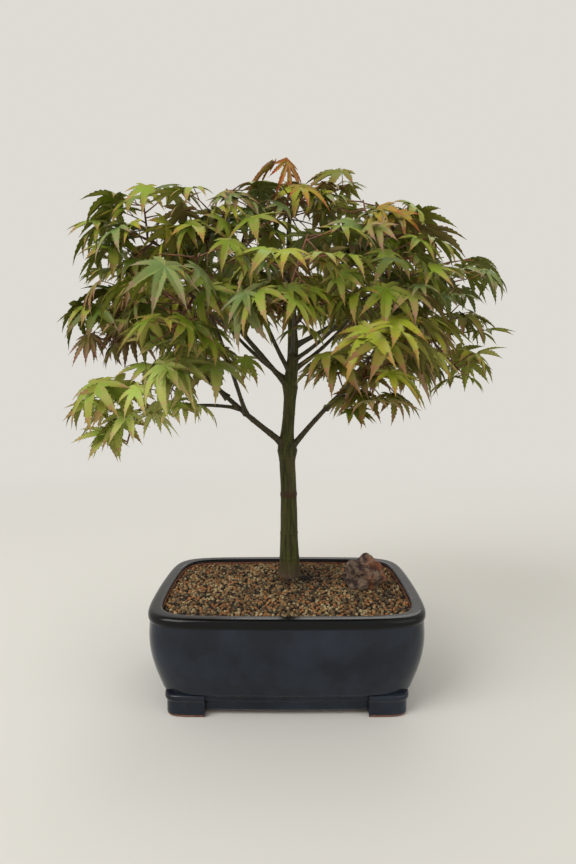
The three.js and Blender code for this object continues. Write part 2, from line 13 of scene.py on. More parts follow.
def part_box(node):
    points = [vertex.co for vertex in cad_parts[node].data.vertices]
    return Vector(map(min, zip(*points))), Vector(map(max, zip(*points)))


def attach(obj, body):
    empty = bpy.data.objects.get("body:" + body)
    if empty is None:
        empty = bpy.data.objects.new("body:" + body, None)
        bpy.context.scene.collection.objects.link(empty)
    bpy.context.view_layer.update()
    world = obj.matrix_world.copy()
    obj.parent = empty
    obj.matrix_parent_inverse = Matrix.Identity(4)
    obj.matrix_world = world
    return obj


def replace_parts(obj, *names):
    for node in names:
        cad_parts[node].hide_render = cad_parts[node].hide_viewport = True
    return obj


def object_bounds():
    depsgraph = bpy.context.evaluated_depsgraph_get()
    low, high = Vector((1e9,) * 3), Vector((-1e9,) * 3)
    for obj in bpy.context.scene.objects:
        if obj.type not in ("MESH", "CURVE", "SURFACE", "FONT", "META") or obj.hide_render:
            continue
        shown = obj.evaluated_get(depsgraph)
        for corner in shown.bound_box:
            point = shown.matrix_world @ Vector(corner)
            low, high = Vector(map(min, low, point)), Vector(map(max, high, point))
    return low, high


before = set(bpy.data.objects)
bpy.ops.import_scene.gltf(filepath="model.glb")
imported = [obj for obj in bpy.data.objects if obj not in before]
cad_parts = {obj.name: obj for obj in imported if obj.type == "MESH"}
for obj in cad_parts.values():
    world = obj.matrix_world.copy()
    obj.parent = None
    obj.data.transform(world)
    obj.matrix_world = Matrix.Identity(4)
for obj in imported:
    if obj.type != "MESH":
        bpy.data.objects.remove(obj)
cad_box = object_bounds()


# Pot. An oblong of stoneware with bowed sides, pressed in a mould, with a plinth and four
# corner feet. A near-black blue-grey glaze covers it, and the soles of the feet, which are
# wiped before firing, and its inside show the bare brown clay.
POT_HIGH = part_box("pot")[1]
POT_SIDES = 256
POT_SQUARENESS = 8
POT_BOW = 0.035
POT_SHARP = 38
SAME_PLACE = 1e-5
# Distance in from the rim, height, and the length over which the corner is rounded
POT_PROFILE = (
    (0.019, 0.004, 0), (0.0168, 0.006, 0.001), (0.0168, 0.0125, 0.0008),
    (0.0146, 0.0145, 0.0012), (0.0146, 0.019, 0.0014), (0.0108, 0.021, 0.0012),
    (0.0086, 0.028, 0.02), (0.0048, 0.040, 0.02), (0.0016, 0.054, 0.02),
    (0.0003, 0.068, 0.02), (0.0013, 0.0845, 0.001), (0, 0.0862, 0.0012),
    (0, 0.0905, 0.002), (0.0024, 0.093, 0.002), (0.0104, 0.093, 0.0016),
    (0.012, 0.0914, 0.0016), (0.0124, 0.060, 0.01), (0.018, 0.034, 0.01),
    (0.030, 0.013, 0.006), (0.034, 0.013, 0),
)
FOOT_HALF_WIDTH = 0.109
FOOT_HALF_DEPTH = 0.0825
FOOT_SQUARENESS = 16
FOOT_LENGTH = 0.037
FOOT_EDGE = 0.0016
FOOT_PROFILE = (
    (0.0032, 0, 0), (0.0014, 0.0014, 0.0012), (0.0014, 0.0034, 0), (0.0014, 0.0138, 0.0008),
    (0, 0.0156, 0.0012), (0, 0.0196, 0.0012), (0.003, 0.021, 0),
)
# Heights of the wiped soles, the plinth's underside, the feet, the end of the glaze inside, and
# the foot of the rim, above which the glaze is painted near black as a painted dark reflection
SOLE_HEIGHT = 0.0026
PLINTH_BOTTOM = 0.0125
FOOT_TOP = 0.0225
INSIDE_TOP = 0.082
RIM_FOOT = (0.0838, 0.0848)
FACES_DOWN = -0.9
DRAIN_RADIUS = 0.007
DRAIN_SIDES = 40
DRAIN_CUT = (-0.01, 0.03)
DRAIN_PLACES = (-0.055, 0.055)


def round_turns(count):
    """Angles at even steps round a full turn"""
    return np.arange(count) * 2 * math.pi / count


def oblong(half_width, half_depth, squareness, bow, height):
    """One ring of the plan: a rounded oblong whose sides bow out"""
    turn = round_turns(POT_SIDES)
    across, along = np.cos(turn), np.sin(turn)
    reach = (abs(across) ** squareness + abs(along) ** squareness) ** (-1 / squareness)
    across, along = across * reach, along * reach
    return np.column_stack([
        half_width * across * (1 - bow * along ** 2),
        half_depth * along * (1 - bow * across ** 2),
        np.full(POT_SIDES, height),
    ])


def eased(corners, steps=4):
    """An outline whose corners are rounded, each over its own length"""
    line = [np.array(corners[0][:2])]
    for before, (x, y, ease), after in zip(corners, corners[1:], corners[2:]):
        corner = np.array([x, y])
        ends = []
        for other in (before, after):
            arm = np.array(other[:2]) - corner
            length = np.linalg.norm(arm)
            ends.append(corner + arm / length * min(ease, length / 2))
        for step in range(steps + 1):
            share = step / steps
            place = ((1 - share) ** 2 * ends[0] + 2 * share * (1 - share) * corner
                     + share ** 2 * ends[1])
            if np.linalg.norm(place - line[-1]) > SAME_PLACE:
                line.append(place)
    line.append(np.array(corners[-1][:2]))
    return line


def lofted(rings):
    """Points and faces of a closed skin over rings of points that turn anticlockwise"""
    sides = len(rings[0])
    first = np.arange(sides)
    after = (first + 1) % sides
    faces = [first[::-1].tolist()]
    for low in range(0, (len(rings) - 1) * sides, sides):
        high = low + sides
        faces += np.column_stack([low + first, low + after, high + after, high + first]).tolist()
    faces.append(((len(rings) - 1) * sides + first).tolist())
    return np.concatenate(rings), faces


def linked(name, data):
    """A new object in the scene for a mesh, a lamp or a camera"""
    made = bpy.data.objects.new(name, data)
    bpy.context.scene.collection.objects.link(made)
    return made


def new_piece(name, points, faces, finishes=(), face_finish=None, sharp=math.pi):
    """A mesh object at the origin, smooth but for the edges sharper than an angle"""
    mesh = bpy.data.meshes.new(name)
    mesh.from_pydata(np.asarray(points).tolist(), [], faces)
    for finish in finishes:
        mesh.materials.append(finish.material)
    if face_finish is not None:
        mesh.polygons.foreach_set("material_index", face_finish)
    mesh.shade_smooth()
    mesh.set_sharp_from_angle(angle=sharp)
    mesh.update()
    return linked(name, mesh)


def poured(name, block):
    """The object that an edit mesh becomes"""
    mesh = bpy.data.meshes.new(name)
    block.to_mesh(mesh)
    block.free()
    return linked(name, mesh)


def plain_mesh(piece):
    """The piece's mesh with its modifiers worked in"""
    bpy.context.view_layer.update()
    graph = bpy.context.evaluated_depsgraph_get()
    mesh = bpy.data.meshes.new_from_object(piece.evaluated_get(graph))
    piece.modifiers.clear()
    piece.data = mesh


def combine(piece, tool, operation):
    """Joins a tool to the piece, or cuts the piece with it"""
    modifier = piece.modifiers.new("combine", "BOOLEAN")
    modifier.operation = operation
    modifier.solver = "EXACT"
    modifier.object = tool
    plain_mesh(piece)
    bpy.data.objects.remove(tool)


class Value:
    """A shader socket that can stand in sums and products"""

    def __init__(self, tree, socket):
        self.tree = tree
        self.socket = socket

    def worked(self, operation, *values):
        sockets = dict(enumerate(values))
        made = add_node(self.tree, "ShaderNodeMath", {"operation": operation}, sockets)
        return Value(self.tree, made[0])

    def __add__(self, other):
        return self.worked("ADD", self, other)

    def __radd__(self, other):
        return self.worked("ADD", other, self)

    def __sub__(self, other):
        return self.worked("SUBTRACT", self, other)

    def __rsub__(self, other):
        return self.worked("SUBTRACT", other, self)

    def __mul__(self, other):
        return self.worked("MULTIPLY", self, other)

    def __rmul__(self, other):
        return self.worked("MULTIPLY", other, self)


def tone(code):
    """A screen colour such as #2b323b as the shader's own red, green, blue and alpha"""
    parts = [int(code[place:place + 2], 16) / 255 for place in (1, 3, 5)]
    return [c / 12.92 if c <= 0.04045 else ((c + 0.055) / 1.055) ** 2.4 for c in parts] + [1]


def feed(tree, place, value):
    """Links a socket, or gives it a plain value or the colour that a code stands for"""
    if isinstance(value, Value):
        tree.links.new(value.socket, place)
    elif isinstance(value, bpy.types.NodeSocket):
        tree.links.new(value, place)
    else:
        is_code = isinstance(value, str) and value.startswith("#")
        place.default_value = tone(value) if is_code else value


def add_node(tree, kind, settings=(), sockets=()):
    """The outputs of a new node, with its settings set first and then its sockets"""
    node = tree.nodes.new(kind)
    for name, value in dict(settings).items():
        setattr(node, name, value)
    for name, value in dict(sockets).items():
        feed(tree, node.inputs[name], value)
    return node.outputs


NOISE_ROUGHNESS = 0.55


class Finish:
    """A material whose plain values sit on the shader's own sockets"""

    def __init__(self, name, **plain):
        self.material = bpy.data.materials.new(name)
        self.material.use_nodes = True
        self.tree = self.material.node_tree
        self.shader = self.tree.nodes["Principled BSDF"]
        self.wear(**plain)

    def wear(self, **values):
        """Sets sockets of the shader, named with _ for each space"""
        for name, value in values.items():
            feed(self.tree, self.shader.inputs[name.replace("_", " ")], value)

    def add(self, kind, settings, sockets, output=0):
        return Value(self.tree, add_node(self.tree, "ShaderNode" + kind, settings, sockets)[output])

    def place(self):
        return self.add("TexCoord", {}, {}, "Object")

    def along(self, axis):
        return self.add("SeparateXYZ", {}, {0: self.place()}, axis)

    def noise(self, scale, detail, stretch=(1, 1, 1)):
        """Noise in the piece's own space, finer along an axis whose stretch is larger"""
        place = self.add("Mapping", {}, {"Vector": self.place(), "Scale": stretch})
        sockets = {"Vector": place, "Scale": scale, "Detail": detail, "Roughness": NOISE_ROUGHNESS}
        return self.add("TexNoise", {}, sockets)

    def between(self, value, low, high):
        """0 where a value is below low, 1 above high, and smooth from one to the other"""
        sockets = {"Value": value, "From Min": low, "From Max": high}
        return self.add("MapRange", {"interpolation_type": "SMOOTHSTEP"}, sockets)

    def patches(self, scale, detail, low=0.35, high=0.65):
        return self.between(self.noise(scale, detail), low, high)

    def mix(self, share, first, second):
        sockets = {0: share, 6: first, 7: second}
        return self.add("Mix", {"data_type": "RGBA"}, sockets, 2)

    def bump(self, height, depth, strength=1.0):
        sockets = {"Height": height, "Distance": depth, "Strength": strength}
        return self.add("Bump", {}, sockets)


glaze = Finish("glaze", Coat_Roughness=0.03, Specular_IOR_Level=0.19)
rim_painted_dark = glaze.between(glaze.along("Z"), *RIM_FOOT)
glaze_base = glaze.mix(glaze.patches(26, 5, 0.35, 0.68), "#151a22", "#212833")
glaze_wall = glaze.mix(glaze.patches(1500, 2, 0.66, 0.74) * 0.3, glaze_base, "#3a3833")
glaze.wear(
    # The rim band is painted near black with a thinner coat: a painted dark reflection
    Base_Color=glaze.mix(rim_painted_dark * 0.9, glaze_wall, "#060504"),
    Coat_Weight=0.17 - 0.13 * rim_painted_dark,
    Roughness=0.1 + 0.14 * glaze.noise(70, 4),
    Normal=glaze.bump(glaze.noise(140, 2) + 0.3 * glaze.noise(600, 2), 0.0003, 0.35),
)


def patched(name, roughness, patches, dark, pale, bumps):
    """A finish in patches of two tones, with fine bumps given by scale, detail and depth"""
    finish = Finish(name, Roughness=roughness)
    *grain, depth = bumps
    finish.wear(
        Base_Color=finish.mix(finish.patches(*patches), dark, pale),
        Normal=finish.bump(finish.noise(*grain), depth),
    )
    return finish


clay = patched("bare_clay", 0.9, (160, 5, 0.3, 0.7), "#5c3526", "#8a5a42", (1800, 4, 0.0004))


def pot_ring(inset, height):
    return oblong(POT_HIGH.x - inset, POT_HIGH.y - inset, POT_SQUARENESS, POT_BOW, height)


pot = new_piece("pot_glazed", *lofted([pot_ring(*place) for place in eased(POT_PROFILE)]))
for side_x in (-1, 1):
    for side_y in (-1, 1):
        foot = new_piece("foot", *lofted([
            oblong(FOOT_HALF_WIDTH - inset, FOOT_HALF_DEPTH - inset, FOOT_SQUARENESS, 0, height)
            for inset, height in eased(FOOT_PROFILE)
        ]))
        block = bmesh.new()
        bmesh.ops.create_cube(block, size=2 * FOOT_LENGTH)
        centre = Vector((side_x * FOOT_HALF_WIDTH, side_y * FOOT_HALF_DEPTH, 0))
        bmesh.ops.translate(block, verts=block.verts, vec=centre)
        upright = [edge for edge in block.edges if edge.verts[0].co.z * edge.verts[1].co.z < 0]
        bmesh.ops.bevel(block, geom=upright, offset=FOOT_EDGE, segments=4, affect="EDGES",
                        profile=0.5)
        combine(foot, poured("corner", block), "INTERSECT")
        combine(pot, foot, "UNION")
for drain_x in DRAIN_PLACES:
    turn = round_turns(DRAIN_SIDES)
    rim = np.column_stack([drain_x + DRAIN_RADIUS * np.cos(turn), DRAIN_RADIUS * np.sin(turn)])
    combine(pot, new_piece("drain", *lofted([
        np.column_stack([rim, np.full(DRAIN_SIDES, height)]) for height in DRAIN_CUT
    ])), "DIFFERENCE")
pot.data.materials.clear()
pot.data.materials.append(glaze.material)
pot.data.materials.append(clay.material)
for face in pot.data.polygons:
    x, y, height = face.center
    faces_in = face.normal.x * x + face.normal.y * y < 0 and FOOT_TOP < height < INSIDE_TOP
    underneath = height < SOLE_HEIGHT or (height < PLINTH_BOTTOM and face.normal.z < FACES_DOWN)
    face.material_index = int(underneath or faces_in)
pot.data.shade_smooth()
pot.data.set_sharp_from_angle(angle=math.radians(POT_SHARP))
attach(pot, "root")
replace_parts(pot, "pot")


# Gravel. Loose grains of fired clay and pumice, 3 to 4 mm, in tan, brown, grey, orange and
# near black, raked level over the soil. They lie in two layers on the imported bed, which is
# the dark, damp soil between them.
GRAIN_SEEDS = (11, 12, 13, 14)
GRAIN_ROUNDNESS = 0.8
GRAIN_WEAR = (-0.16, 0.16)
# Each grain's sides as shares of its layer's size, and its tilt
GRAIN_SHARES = ((0.75, 0.75, 0.6), (1.25, 1.15, 0.95))
GRAIN_TILT = ((-0.5, -0.5, 0), (0.5, 0.5, 2 * math.pi))
# Layers of the gravel: inputs of the scatter
GRAVEL_LAYERS = {
    "gravel_lower": {"Spacing": 0.0026, "Grain Size": 0.00176, "Lift": 0.0002, "Seed": 5},
    "gravel_upper": {"Spacing": 0.0028, "Grain Size": 0.001488, "Lift": 0.0015, "Seed": 40},
}
# How far up the bed must face to bear grains
GRAVEL_LEVEL = 0.7
GRAIN_TONES = (
    ("#826643", "#a18054"), ("#614931", "#7d5f3f"), ("#5a503b", "#73674c"),
    ("#905f39", "#ac774a"), ("#2b2219", "#3e3226"), ("#998660", "#b4a079"),
)
# The darker place beside the trunk's foot, which is painted shade, how far that painted shade
# reaches round it, and how dark that place and the darker patches elsewhere are
SHADED_PLACE = (0.022, 0.022, 0.09)
SHADE_REACH = (0.006, 0.046)
SHADE_SHARE = 0.62
DARK_PATCHES = 0.38

soil = Finish("soil", Roughness=0.97)
soil.wear(
    Base_Color=soil.mix(soil.noise(300, 4), "#1d1611", "#43352a"),
    Normal=soil.bump(soil.noise(700, 4), 0.001),
)
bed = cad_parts["gravel_bed"]
bed.data.materials.clear()
bed.data.materials.append(soil.material)

grain_finishes = []
for number, (dark, pale) in enumerate(GRAIN_TONES):
    grit = Finish(f"grain_{number}", Roughness=0.93, Specular_IOR_Level=0.3)
    dry = grit.mix(grit.patches(420, 3), dark, pale)
    away = grit.add("VectorMath", {"operation": "DISTANCE"}, {0: grit.place(), 1: SHADED_PLACE}, 1)
    # Painted shade: the grains are painted darker round the place beside the trunk's foot
    painted_shade = SHADE_SHARE - SHADE_SHARE * grit.between(away, *SHADE_REACH)
    grit.wear(
        Base_Color=grit.mix(painted_shade + DARK_PATCHES * grit.patches(38, 3, 0.45), dry, "#1d1611"),
        Normal=grit.bump(grit.noise(2600, 3), 0.0005),
    )
    grain_finishes.append(grit)


def grain_mesh(name, seed):
    """A worn, slightly angular grain of 24 faces"""
    dice = np.random.default_rng(seed)
    lattice = [(x, y, z) for x in (-1, 0, 1) for y in (-1, 0, 1) for z in (-1, 0, 1)]
    lattice.remove((0, 0, 0))
    number = {place: index for index, place in enumerate(lattice)}
    points = np.array(lattice, float)
    points /= np.linalg.norm(points, axis=1)[:, None] ** GRAIN_ROUNDNESS
    points *= 1 + dice.uniform(*GRAIN_WEAR, (len(points), 3))
    faces = []
    for axis in range(3):
        for side in (-1, 1):
            for u in (-1, 0):
                for v in (-1, 0):
                    ring = [(u, v), (u + 1, v), (u + 1, v + 1), (u, v + 1)][::side]
                    places = [tuple(np.roll((side, a, b), axis)) for a, b in ring]
                    faces.append([number[tuple(int(c) for c in place)] for place in places])
    return new_piece(name, points, faces)


def gravel_tree(grains):
    """Grains scattered over the level top of the bed, each dealt one of the tones"""
    tree = bpy.data.node_groups.new("gravel", "GeometryNodeTree")
    for name, kind in (("Spacing", "NodeSocketFloat"), ("Grain Size", "NodeSocketFloat"),
                       ("Lift", "NodeSocketFloat"), ("Seed", "NodeSocketInt")):
        tree.interface.new_socket(name, in_out="INPUT", socket_type=kind)
    tree.interface.new_socket("Geometry", in_out="OUTPUT", socket_type="NodeSocketGeometry")
    add = partial(add_node, tree)
    given = add("NodeGroupInput")

    def spread(kind, low, high, seed_step):
        low_socket, high_socket, made = {"INT": (4, 5, 2), "FLOAT_VECTOR": (0, 1, 0)}[kind]
        seed = add("ShaderNodeMath", {"operation": "ADD"}, {0: given["Seed"], 1: seed_step})[0]
        return add("FunctionNodeRandomValue", {"data_type": kind},
                   {low_socket: low, high_socket: high, "Seed": seed})[made]

    ground = add("GeometryNodeObjectInfo", {}, {"Object": bed})["Geometry"]
    upward = add("ShaderNodeSeparateXYZ", {}, {0: add("GeometryNodeInputNormal")[0]})["Z"]
    level = add("FunctionNodeCompare", {"data_type": "FLOAT", "operation": "GREATER_THAN"},
                {0: upward, 1: GRAVEL_LEVEL})[0]
    density = add("ShaderNodeMath", {"operation": "POWER"}, {0: given["Spacing"], 1: -2.0})[0]
    spots = add("GeometryNodeDistributePointsOnFaces", {"distribute_method": "POISSON"},
                {"Mesh": ground, "Selection": level, "Distance Min": given["Spacing"],
                 "Density Max": density, "Seed": given["Seed"]})
    rise = add("ShaderNodeCombineXYZ", {}, {"Z": given["Lift"]})[0]
    lifted = add("GeometryNodeSetPosition", {}, {"Geometry": spots["Points"], "Offset": rise})[0]
    shapes = tree.nodes.new("GeometryNodeJoinGeometry")
    for grain in grains:
        one = add("GeometryNodeObjectInfo", {}, {"Object": grain, "As Instance": True})
        tree.links.new(one["Geometry"], shapes.inputs[0])
    size = add("ShaderNodeVectorMath", {"operation": "SCALE"},
               {0: spread("FLOAT_VECTOR", *GRAIN_SHARES, 1), "Scale": given["Grain Size"]})[0]
    scattered = add("GeometryNodeInstanceOnPoints", {}, {
        "Points": lifted, "Instance": shapes.outputs[0], "Pick Instance": True,
        "Instance Index": spread("INT", 0, len(grains) - 1, 2),
        "Rotation": spread("FLOAT_VECTOR", *GRAIN_TILT, 3),
        "Scale": size,
    })[0]
    dealt = add("GeometryNodeStoreNamedAttribute", {"data_type": "INT", "domain": "INSTANCE"},
                {"Geometry": scattered, "Name": "tone",
                 "Value": spread("INT", 0, len(grain_finishes) - 1, 4)})[0]
    coloured = add("GeometryNodeRealizeInstances", {}, {"Geometry": dealt})[0]
    held = add("GeometryNodeInputNamedAttribute", {"data_type": "INT"}, {"Name": "tone"})[0]
    for number, grit in enumerate(grain_finishes):
        chosen = add("FunctionNodeCompare", {"data_type": "INT", "operation": "EQUAL"},
                     {2: held, 3: number})[0]
        coloured = add("GeometryNodeSetMaterial", {}, {
            "Geometry": coloured, "Selection": chosen, "Material": grit.material,
        })[0]
    tree.links.new(coloured, tree.nodes.new("NodeGroupOutput").inputs[0])
    return tree


grains = [grain_mesh(f"grain_shape_{seed}", seed) for seed in GRAIN_SEEDS]
gravel = gravel_tree(grains)
for name, inputs in GRAVEL_LAYERS.items():
    layer = new_piece(name, [], [])
    modifier = layer.modifiers.new("gravel", "NODES")
    modifier.node_group = gravel
    for item in gravel.interface.items_tree:
        if item.name in inputs:
            modifier[item.identifier] = inputs[item.name]
    plain_mesh(layer)
    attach(layer, "root")
for grain in grains:
    bpy.data.objects.remove(grain)


# Rock. A lump of lava from a garden shop, brown and purple-grey with one rusty orange patch,
# full of small holes, and pressed a little way into the gravel at the right rear.
ROCK_CENTRE = np.array([0.0775, 0.006, 0.101])
ROCK_HALF_SIZE = np.array([0.0195, 0.018, 0.0175])
ROCK_ROUGHNESS = 0.16
CRAG_HEIGHT = 0.07
CRAG_PACE = 3.2
CRAG_STEPS = (0.9, 2.1, 5)
PIT_PACE = 6.5
PIT_WIDTH = 0.34
PIT_DEPTH = 0.45
RUST_EDGE = 0.084
# Waves of its hollows: pace along X, Y and Z, shift and share
ROCK_WAVES = (
    ((5.1, -4.3, 0), 2.47, 0.5), ((5.1, 4.3, 0), 0.13, 0.5),
    ((2.7, 0, 6.2), 0, 0.7), ((0, 9.1, 7.7), 0, 0.35),
)

lava = Finish("lava", Roughness=0.95, Specular_IOR_Level=0.25)
lava_rust = lava.between(lava.noise(70, 5) + 9 * (lava.along("X") - RUST_EDGE), 0.46, 0.68)
lava_base = lava.mix(lava.patches(150, 6, 0.36, 0.62), "#3a2c2b", "#85705f")
lava.wear(
    Base_Color=lava.mix(lava_rust * 0.6, lava_base, "#a4603a"),
    Normal=lava.bump(lava.noise(1300, 5), 0.0014),
)

lump = bmesh.new()
bmesh.ops.create_icosphere(lump, subdivisions=6, radius=1)
for vertex in lump.verts:
    wave = sum(share * math.sin(vertex.co.dot(pace) + shift) for pace, shift, share in ROCK_WAVES)
    crags = noise.fractal(vertex.co * CRAG_PACE, *CRAG_STEPS)
    holes = noise.voronoi(vertex.co * PIT_PACE)[0][0]
    pit = max(0.0, PIT_WIDTH - holes) * PIT_DEPTH
    vertex.co *= 1 + ROCK_ROUGHNESS * wave + CRAG_HEIGHT * crags - pit
    vertex.co = Vector(ROCK_CENTRE + np.array(vertex.co) * ROCK_HALF_SIZE)
rock = poured("rock_lava", lump)
rock.data.materials.append(lava.material)
rock.data.shade_smooth()
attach(rock, "root")
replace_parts(rock, "rock")


# Trunk. One straight young stem, grown on its own roots and cut back once low down, which
# left a brown ring. Its bark is thin, smooth and olive green with fine lengthwise streaks,
# browner at the swollen joints and grey-brown at the flared foot.
TRUNK_POINTS = (
    (0.0025, 0.032, 0.0898), (0.0016, 0.031, 0.178), (0, 0.030, 0.228), (0.0025, 0.0295, 0.270),
    (0.005, 0.029, 0.305), (0.0055, 0.028, 0.345), (0.002, 0.025, 0.434),
)
TRUNK_RADII = (
    (0, 0.0126), (0.006, 0.0112), (0.018, 0.0103), (0.040, 0.0093), (0.080, 0.0083),
    (0.122, 0.0082), (0.133, 0.0094), (0.146, 0.0069), (0.170, 0.0062), (0.188, 0.0063),
    (0.199, 0.0071), (0.211, 0.0057), (0.262, 0.0044), (0.346, 0.0027),
)
TRUNK_SIDES = 72
TRUNK_RINGS = 420
TRUNK_SINK = 0.004
# Relief of its bark, as a share of its radius, and the relief's seed
TRUNK_GRAIN = 0.022
TRUNK_SEED = 3.0
# Lobes of its flared foot: how many, where they start, how far they stand out, and how fast
# they fade upwards
ROOT_LOBES = 5
ROOT_LOBE_TURN = 0.7
ROOT_LOBE = 0.0013
ROOT_LOBE_FADE = 0.009
# Heights of the rings that old buds left round the stem, and of the cut-back ring, with how
# far each stands out and its half width
BUD_RINGS = (0.021, 0.047, 0.134, 0.172, 0.199, 0.226, 0.262, 0.300, 0.325)
BUD_RING = (0.00035, 0.0009)
CUT_RING_HEIGHT = 0.088
CUT_RING = (0.0005, 0.0022)
# Swelling of the trunk under each bough: share of the bough's radius, height above its root,
# half width, and the reach of the test for it
SHOULDER_SHARE = 0.5
SHOULDER_HEIGHT = 0.004
SHOULDER_WIDTH = 0.009
SHOULDER_REACH = 0.04
# A direction that no limb runs in
ASKEW = (0.31, -0.9, 0.3)
# Waves of the bark's relief: pace round a limb, shares of the seed that shift it across and
# along, pace lengthwise, and share
BARK_WAVES = ((5, 0, 1, 35, 1), (1.4, 1, 0, 60, 1.2), (14, 0, 1, 260, 0.4))


def unit(vector):
    return vector / np.linalg.norm(vector)


class Limb:
    """The middle line of a limb, with its radius at any distance from its root"""

    def __init__(self, points, radii):
        self.points = np.array(points)
        steps = np.linalg.norm(np.diff(self.points, axis=0), axis=1)
        self.reached = np.append(0, np.cumsum(steps))
        self.length = self.reached[-1]
        self.radii = radii

    def at(self, distance):
        return np.array([np.interp(distance, self.reached, axis) for axis in self.points.T]).T

    def radius(self, distance):
        return np.interp(distance, *zip(*self.radii))

    def heading(self, distance):
        step = self.length / 100
        low, high = max(distance - step, 0), min(distance + step, self.length)
        return unit(self.at(high) - self.at(low))


def through(points, steps):
    """A smooth line through points, as even-paced as the gaps between them allow"""
    points = [np.array(point) for point in points]
    points = [2 * points[0] - points[1]] + points + [2 * points[-1] - points[-2]]
    line = [points[1]]
    for a, b, c, d in zip(points, points[1:], points[2:], points[3:]):
        gaps = [np.linalg.norm(q - p) ** 0.5 for p, q in ((a, b), (b, c), (c, d))]
        start = ((b - a) / gaps[0] - (c - a) / (gaps[0] + gaps[1]) + (c - b) / gaps[1]) * gaps[1]
        end = ((c - b) / gaps[1] - (d - b) / (gaps[1] + gaps[2]) + (d - c) / gaps[2]) * gaps[1]
        for step in range(1, steps + 1):
            t = step / steps
            line.append(b + start * t + (3 * (c - b) - 2 * start - end) * t ** 2
                        + (2 * (b - c) + start + end) * t ** 3)
    return line


def bowed(start, middle, end, steps=40):
    """A line that bends once, from start to end, towards middle"""
    share = np.linspace(0, 1, steps + 1)[:, None]
    return (1 - share) ** 2 * start + 2 * share * (1 - share) * middle + share ** 2 * end


def swept(points, radii, sides):
    """Rings round a line, where a radius may differ round the ring"""
    points = np.asarray(points)
    headings = np.gradient(points, axis=0)
    turn = round_turns(sides)
    side = np.cross(headings[0], ASKEW)
    rings = []
    for point, heading, radius in zip(points, headings, radii):
        heading = unit(heading)
        side = unit(side - heading * (side @ heading))
        across = np.cross(heading, side)
        ring = np.outer(np.cos(turn) * radius, side) + np.outer(np.sin(turn) * radius, across)
        rings.append(point + ring)
    return rings


def swelling(distance, half_width):
    return math.exp(-(distance / half_width) ** 2)


def bark_relief(distance, turn, radius, seed, grain):
    """Height of the bark's lengthwise ridges at a distance along a limb and a turn round it"""
    return grain * radius * sum(share * noise.noise(Vector((
        math.cos(turn) * pace + across * seed, math.sin(turn) * pace + along * seed,
        distance * climb,
    ))) for pace, across, along, climb, share in BARK_WAVES)


bark = Finish("trunk_bark", Specular_IOR_Level=0.22)
bark_height = bark.along("Z")
bark_streaks = bark.noise(420, 5, (1, 1, 0.09))
bark_blotches = bark.noise(90, 4, (1, 1, 0.5))
bark_specks = bark.between(bark.noise(1100, 2, (1, 1, 0.55)), 0.64, 0.72)
bark_green = bark.mix(bark.between(bark_streaks, 0.36, 0.64), "#2a2b0f", "#474a1c")
bark_aged = bark.mix(bark.between(bark_blotches, 0.42, 0.66) * 0.65, bark_green, "#4a3f25")
bark_foot = 1 - bark.between(bark_height + 0.03 * bark_blotches, 0.106, 0.128)
bark_ring = 1 - bark.between(
    bark.add("Math", {"operation": "ABSOLUTE"}, {0: bark_height + 0.008 * bark_blotches - 0.182}),
    0.0015, 0.006)
bark_brown = bark.mix(bark_ring * 0.8, bark_aged, "#3f2a1b")
bark_grey = bark.mix(bark_foot * 0.9, bark_brown, bark.mix(bark_streaks, "#32251b", "#62513f"))
bark.wear(
    Base_Color=bark.mix(bark_specks * 0.35, bark_grey, "#7f7a4c"),
    Roughness=0.5 + 0.25 * bark_streaks,
    Normal=bark.bump(bark_streaks + 0.5 * bark_specks, 0.0004, 0.5),
)

trunk = Limb(through(TRUNK_POINTS, 60), TRUNK_RADII)
limbs = {"trunk": trunk}

# The boughs, which shape the trunk too: it swells where they leave it. Each row: carrier,
# distance along it, tip, radius at root and tip, and bend of the middle
BOUGHS = {
    "low_left": ("trunk", 0.138, (-0.078, 0, 0.297), (0.0031, 0.0018), (-0.005, 0.002, 0)),
    "low_left_outer": ("low_left", 0.064, (-0.102, 0.006, 0.27), (0.0018, 0.0013), (0, 0, 0.004)),
    "left": ("low_left", 0.08, (-0.098, 0.002, 0.334), (0.0021, 0.0015), (-0.004, 0, -0.006)),
    "front_left": ("low_left", 0.056, (-0.06, -0.064, 0.338), (0.002, 0.0014),
                   (0.003, -0.004, -0.006)),
    "low_right": ("trunk", 0.131, (0.088, 0.012, 0.314), (0.0028, 0.0016), (0, 0.002, 0.009)),
    "front_right": ("low_right", 0.062, (0.058, -0.042, 0.294), (0.002, 0.0014),
                    (0.004, 0.004, -0.003)),
    "upper_left": ("trunk", 0.197, (-0.086, 0.02, 0.394), (0.0028, 0.0016), (-0.006, 0, 0.004)),
    "top_left": ("trunk", 0.211, (-0.034, 0.002, 0.39), (0.0022, 0.0015), (-0.005, -0.005, -0.004)),
    "rear_left": ("trunk", 0.204, (-0.06, 0.064, 0.35), (0.0024, 0.0015), (-0.004, 0.004, -0.004)),
    "rear_right": ("trunk", 0.216, (0.062, 0.064, 0.356), (0.0024, 0.0015), (0.004, 0.004, -0.004)),
    "right_shoulder": ("trunk", 0.24, (0.084, 0.014, 0.376), (0.0024, 0.0015), (0.002, 0, -0.003)),
    "front": ("trunk", 0.234, (0.006, -0.05, 0.346), (0.0021, 0.0014), (0, -0.002, -0.005)),
    "mid_right": ("trunk", 0.226, (0.052, -0.026, 0.352), (0.0022, 0.0014), (0.003, -0.003, -0.004)),
    "rear": ("trunk", 0.256, (-0.002, 0.066, 0.382), (0.0021, 0.0014), (0, 0.004, -0.004)),
    "top_right": ("trunk", 0.262, (0.042, 0.004, 0.392), (0.0021, 0.0014), (0.003, -0.003, -0.003)),
}
# The collar at a bough's root: how much thicker it is, and its share of the bough's length
COLLAR_SWELL = 1.25
COLLAR_SHARE = 0.16

